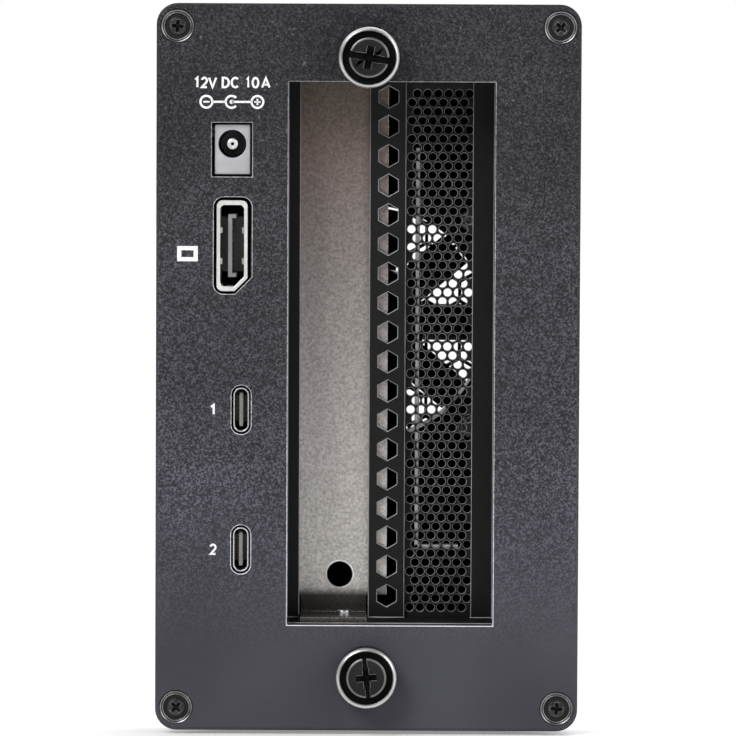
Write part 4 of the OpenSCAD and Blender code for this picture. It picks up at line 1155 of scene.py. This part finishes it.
# Small parts on the main board, set out by a seeded draw: length, width and height of each kind
SMALL_SEED = 7
SMALL_COUNT = 90
SMALL_TRIES = 4000
SMALL_SIZES = ((1.6, 0.8, 0.5), (1.6, 0.8, 0.7), (2.0, 1.25, 0.6))
SMALL_END = 0.35
SMALL_END_OUT = 0.02
BOARD_MARGIN = 4
TALL_MARGIN = 2.2
TALL_NODES = (
    "controller_chip", "small_chips", "heat_sink", "heat_sink_pins", "power_coils", "capacitors",
    "dc_jack_body", "display_socket_shell", "data_port_shells", "fan_header", "fan_plug",
    "link_connector", "board_screws", "fan_lead")


def make_small_parts():
    draw = random.Random(SMALL_SEED)
    low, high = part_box("main_board")
    face_x = low[0] / MM
    taken = [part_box(node) for node in TALL_NODES]
    margin = TALL_MARGIN * MM
    bodies, ends = Shape(), Shape()
    made = 0
    for _ in range(SMALL_TRIES):
        if made == SMALL_COUNT:
            break
        y = draw.uniform(low[1] / MM - FACE_Y + BOARD_MARGIN, high[1] / MM - FACE_Y - BOARD_MARGIN)
        z = draw.uniform(low[2] / MM - MID_Z + BOARD_MARGIN, high[2] / MM - MID_Z - BOARD_MARGIN)
        point = place(face_x, y, z)
        if any(a[1] - margin < point.y < b[1] + margin and a[2] - margin < point.z < b[2] + margin
               for a, b in taken):
            continue
        made += 1
        long, wide, tall = draw.choice(SMALL_SIZES)
        upright = draw.random() >= 0.5
        kind = draw.randrange(2)
        end_half = wide / 2 + SMALL_END_OUT
        blocks = [(bodies, (-long / 2, long / 2), wide / 2, tall, kind)]
        for side in (-1, 1):
            span = sorted((side * (long / 2 - SMALL_END), side * (long / 2 + SMALL_END_OUT)))
            blocks.append((ends, span, end_half, tall + SMALL_END_OUT, 0))
        for shape, along, half, height, finish in blocks:
            a, b = along, (-half, half)
            if upright:
                a, b = b, a
            shape.block((face_x - height, y + a[0], z + b[0]), (face_x, y + a[1], z + b[1]), finish)
    piece("board_small_bodies", bodies, ("resistor", "ceramic"), *body_and_slot("main_board"))
    piece("board_small_ends", ends, ("zinc",), "tray", "zinc_steel")


dress_nodes()
make_vented_cover()
make_hole_rim_highlight()
make_thumbscrew("thumbscrew_top", THUMB_ZS[0], cross_deg=-10.0, slot_deg=-10.0, slot_w=1.25,
                slot_deep=0.7, cross_reach=2.3, cross_half=0.72)
make_thumbscrew("thumbscrew_bottom", THUMB_ZS[1], cross_deg=6.0, slot_deg=96.0, slot_w=0.8,
                slot_deep=0.35, cross_reach=2.1, cross_half=0.6)
make_print()
make_leads()
make_small_parts()
make_corner_screws()
make_power_inlet()
make_display_socket()
make_data_ports()
make_fan()


# Lamps: place in metres and power in watts
LAMP_SIZE = 0.9
LAMP_AIM = (0.0, -0.05, 0.07)
LAMPS = (("key", (-0.9, -1.3, 1.3), 26), ("fill", (1.2, -0.9, 0.7), 10),
         ("back", (0.5, 1.3, 1.1), 18))


def look_at(obj, eye, aim):
    """Puts a lamp or a camera in its place and turns it towards a point."""
    obj.location = eye
    obj.rotation_mode = "QUATERNION"
    obj.rotation_quaternion = (Vector(aim) - Vector(eye)).to_track_quat("-Z", "Y")


def make_lamps():
    for name, eye, power in LAMPS:
        light = bpy.data.lights.new(name, "AREA")
        light.shape = "RECTANGLE"
        light.size = LAMP_SIZE
        light.size_y = LAMP_SIZE
        light.energy = power
        look_at(linked(name, light), eye, LAMP_AIM)


# World: white to the camera, and to metal and glass white on one side and dark on the other
ROOM_STRENGTH = 0.45
DARK_SIDE = (0.3, (0.05, 0.05, 0.05, 1))
WHITE_SIDE = (0.6, (1, 1, 1, 1))


def make_world():
    world = bpy.data.worlds.new("studio")
    bpy.context.scene.world = world
    world.use_nodes = True
    tree = world.node_tree
    tree.nodes.clear()
    rays = add_node(tree, "LightPath").outputs
    way = add_node(tree, "TexCoord").outputs["Generated"]
    depth = add_node(tree, "SeparateXYZ", way).outputs["Y"]
    shift = add_node(tree, "MapRange", depth)
    preset(shift, {"From Min": -1.0})
    tone = add_node(tree, "ValToRGB", shift.outputs["Result"])
    for element, (at, colour) in zip(tone.color_ramp.elements, (DARK_SIDE, WHITE_SIDE)):
        element.position = at
        element.color = colour
    room = add_node(tree, "Background")
    preset(room, {"Strength": ROOM_STRENGTH})
    white = add_node(tree, "Background")
    preset(white, {"Color": (1, 1, 1, 1)})
    mirrored = add_node(tree, "Background", tone.outputs["Color"])
    glossy = add_node(tree, "Math", rays["Is Glossy Ray"], rays["Is Transmission Ray"],
                      operation="MAXIMUM")
    around = add_node(tree, "MixShader", glossy.outputs[0], room.outputs[0],
                      mirrored.outputs[0])
    seen = add_node(tree, "MixShader", rays["Is Camera Ray"], around.outputs[0],
                    white.outputs[0])
    add_node(tree, "OutputWorld", seen.outputs[0])


# Floor: a pale glow hides it from the camera, but for a short shadow at the rear face's foot
FLOOR_HALF = 4.0
SHADOW_HALF_W = 0.043
SHADOW_REACH = 0.012
SHADOW_FADE = (0.85, 1.5)
SHADOW_GLOW_SHARE = 0.25
FLOOR_GLOW = 1.1


def make_floor():
    size = FLOOR_HALF
    mesh = bpy.data.meshes.new("floor")
    mesh.from_pydata([(-size, -size, 0), (size, -size, 0), (size, size, 0), (-size, size, 0)], [],
                     [(0, 1, 2, 3)])
    floor = linked("floor", mesh)
    made = Finish("floor", (0.82, 0.82, 0.82, 1), 0.9)
    made.colour(made.ramp(made.noise(60, 2.0), [(0.3, (0.8,)), (0.7, (0.84,))]))
    rays = made.node("LightPath").outputs
    seen = made.combine("MAXIMUM", rays["Is Camera Ray"], rays["Is Glossy Ray"])
    seen = made.combine("MAXIMUM", seen, rays["Is Transmission Ray"])
    flat = made.stretched((1 / SHADOW_HALF_W, 1 / SHADOW_REACH, 0))
    away = made.node("VectorMath", flat, operation="DISTANCE")
    preset(away, {1: (0.0, FACE_Y * MM / SHADOW_REACH, 0.0)})
    near = made.node("MapRange", away.outputs["Value"])
    preset(near, {"From Min": SHADOW_FADE[0], "From Max": SHADOW_FADE[1],
                  "To Min": SHADOW_GLOW_SHARE})
    glow = made.node("Emission")
    preset(glow, {"Strength": FLOOR_GLOW})
    both = made.node("MixShader", made.combine("MULTIPLY", seen, near.outputs["Result"]),
                     made.shader.outputs[0], glow.outputs[0])
    made.join(both.outputs[0], made.tree.nodes["Material Output"].inputs["Surface"])
    mesh.materials.append(made.material)


# Camera, matched to the photograph
LENS_MM = 244.3
SENSOR_MM = 36
CLIP_END = 20
EYE = (0.0, -1.1125, MID_Z * MM + 0.053)
AIM = (0.00006, FACE_Y * MM, (MID_Z + 0.14) * MM)
ROLL_DEG = 0.27


def make_camera():
    data = bpy.data.cameras.new("camera")
    data.lens = LENS_MM
    data.sensor_width = SENSOR_MM
    data.clip_end = CLIP_END
    camera = linked("camera", data)
    look_at(camera, EYE, AIM)
    roll = Matrix.Rotation(math.radians(ROLL_DEG), 3, "Z").to_quaternion()
    camera.rotation_quaternion = camera.rotation_quaternion @ roll
    bpy.context.scene.camera = camera


make_world()
make_floor()
make_camera()
make_lamps()

scene = bpy.context.scene
scene.view_settings.view_transform = "Standard"
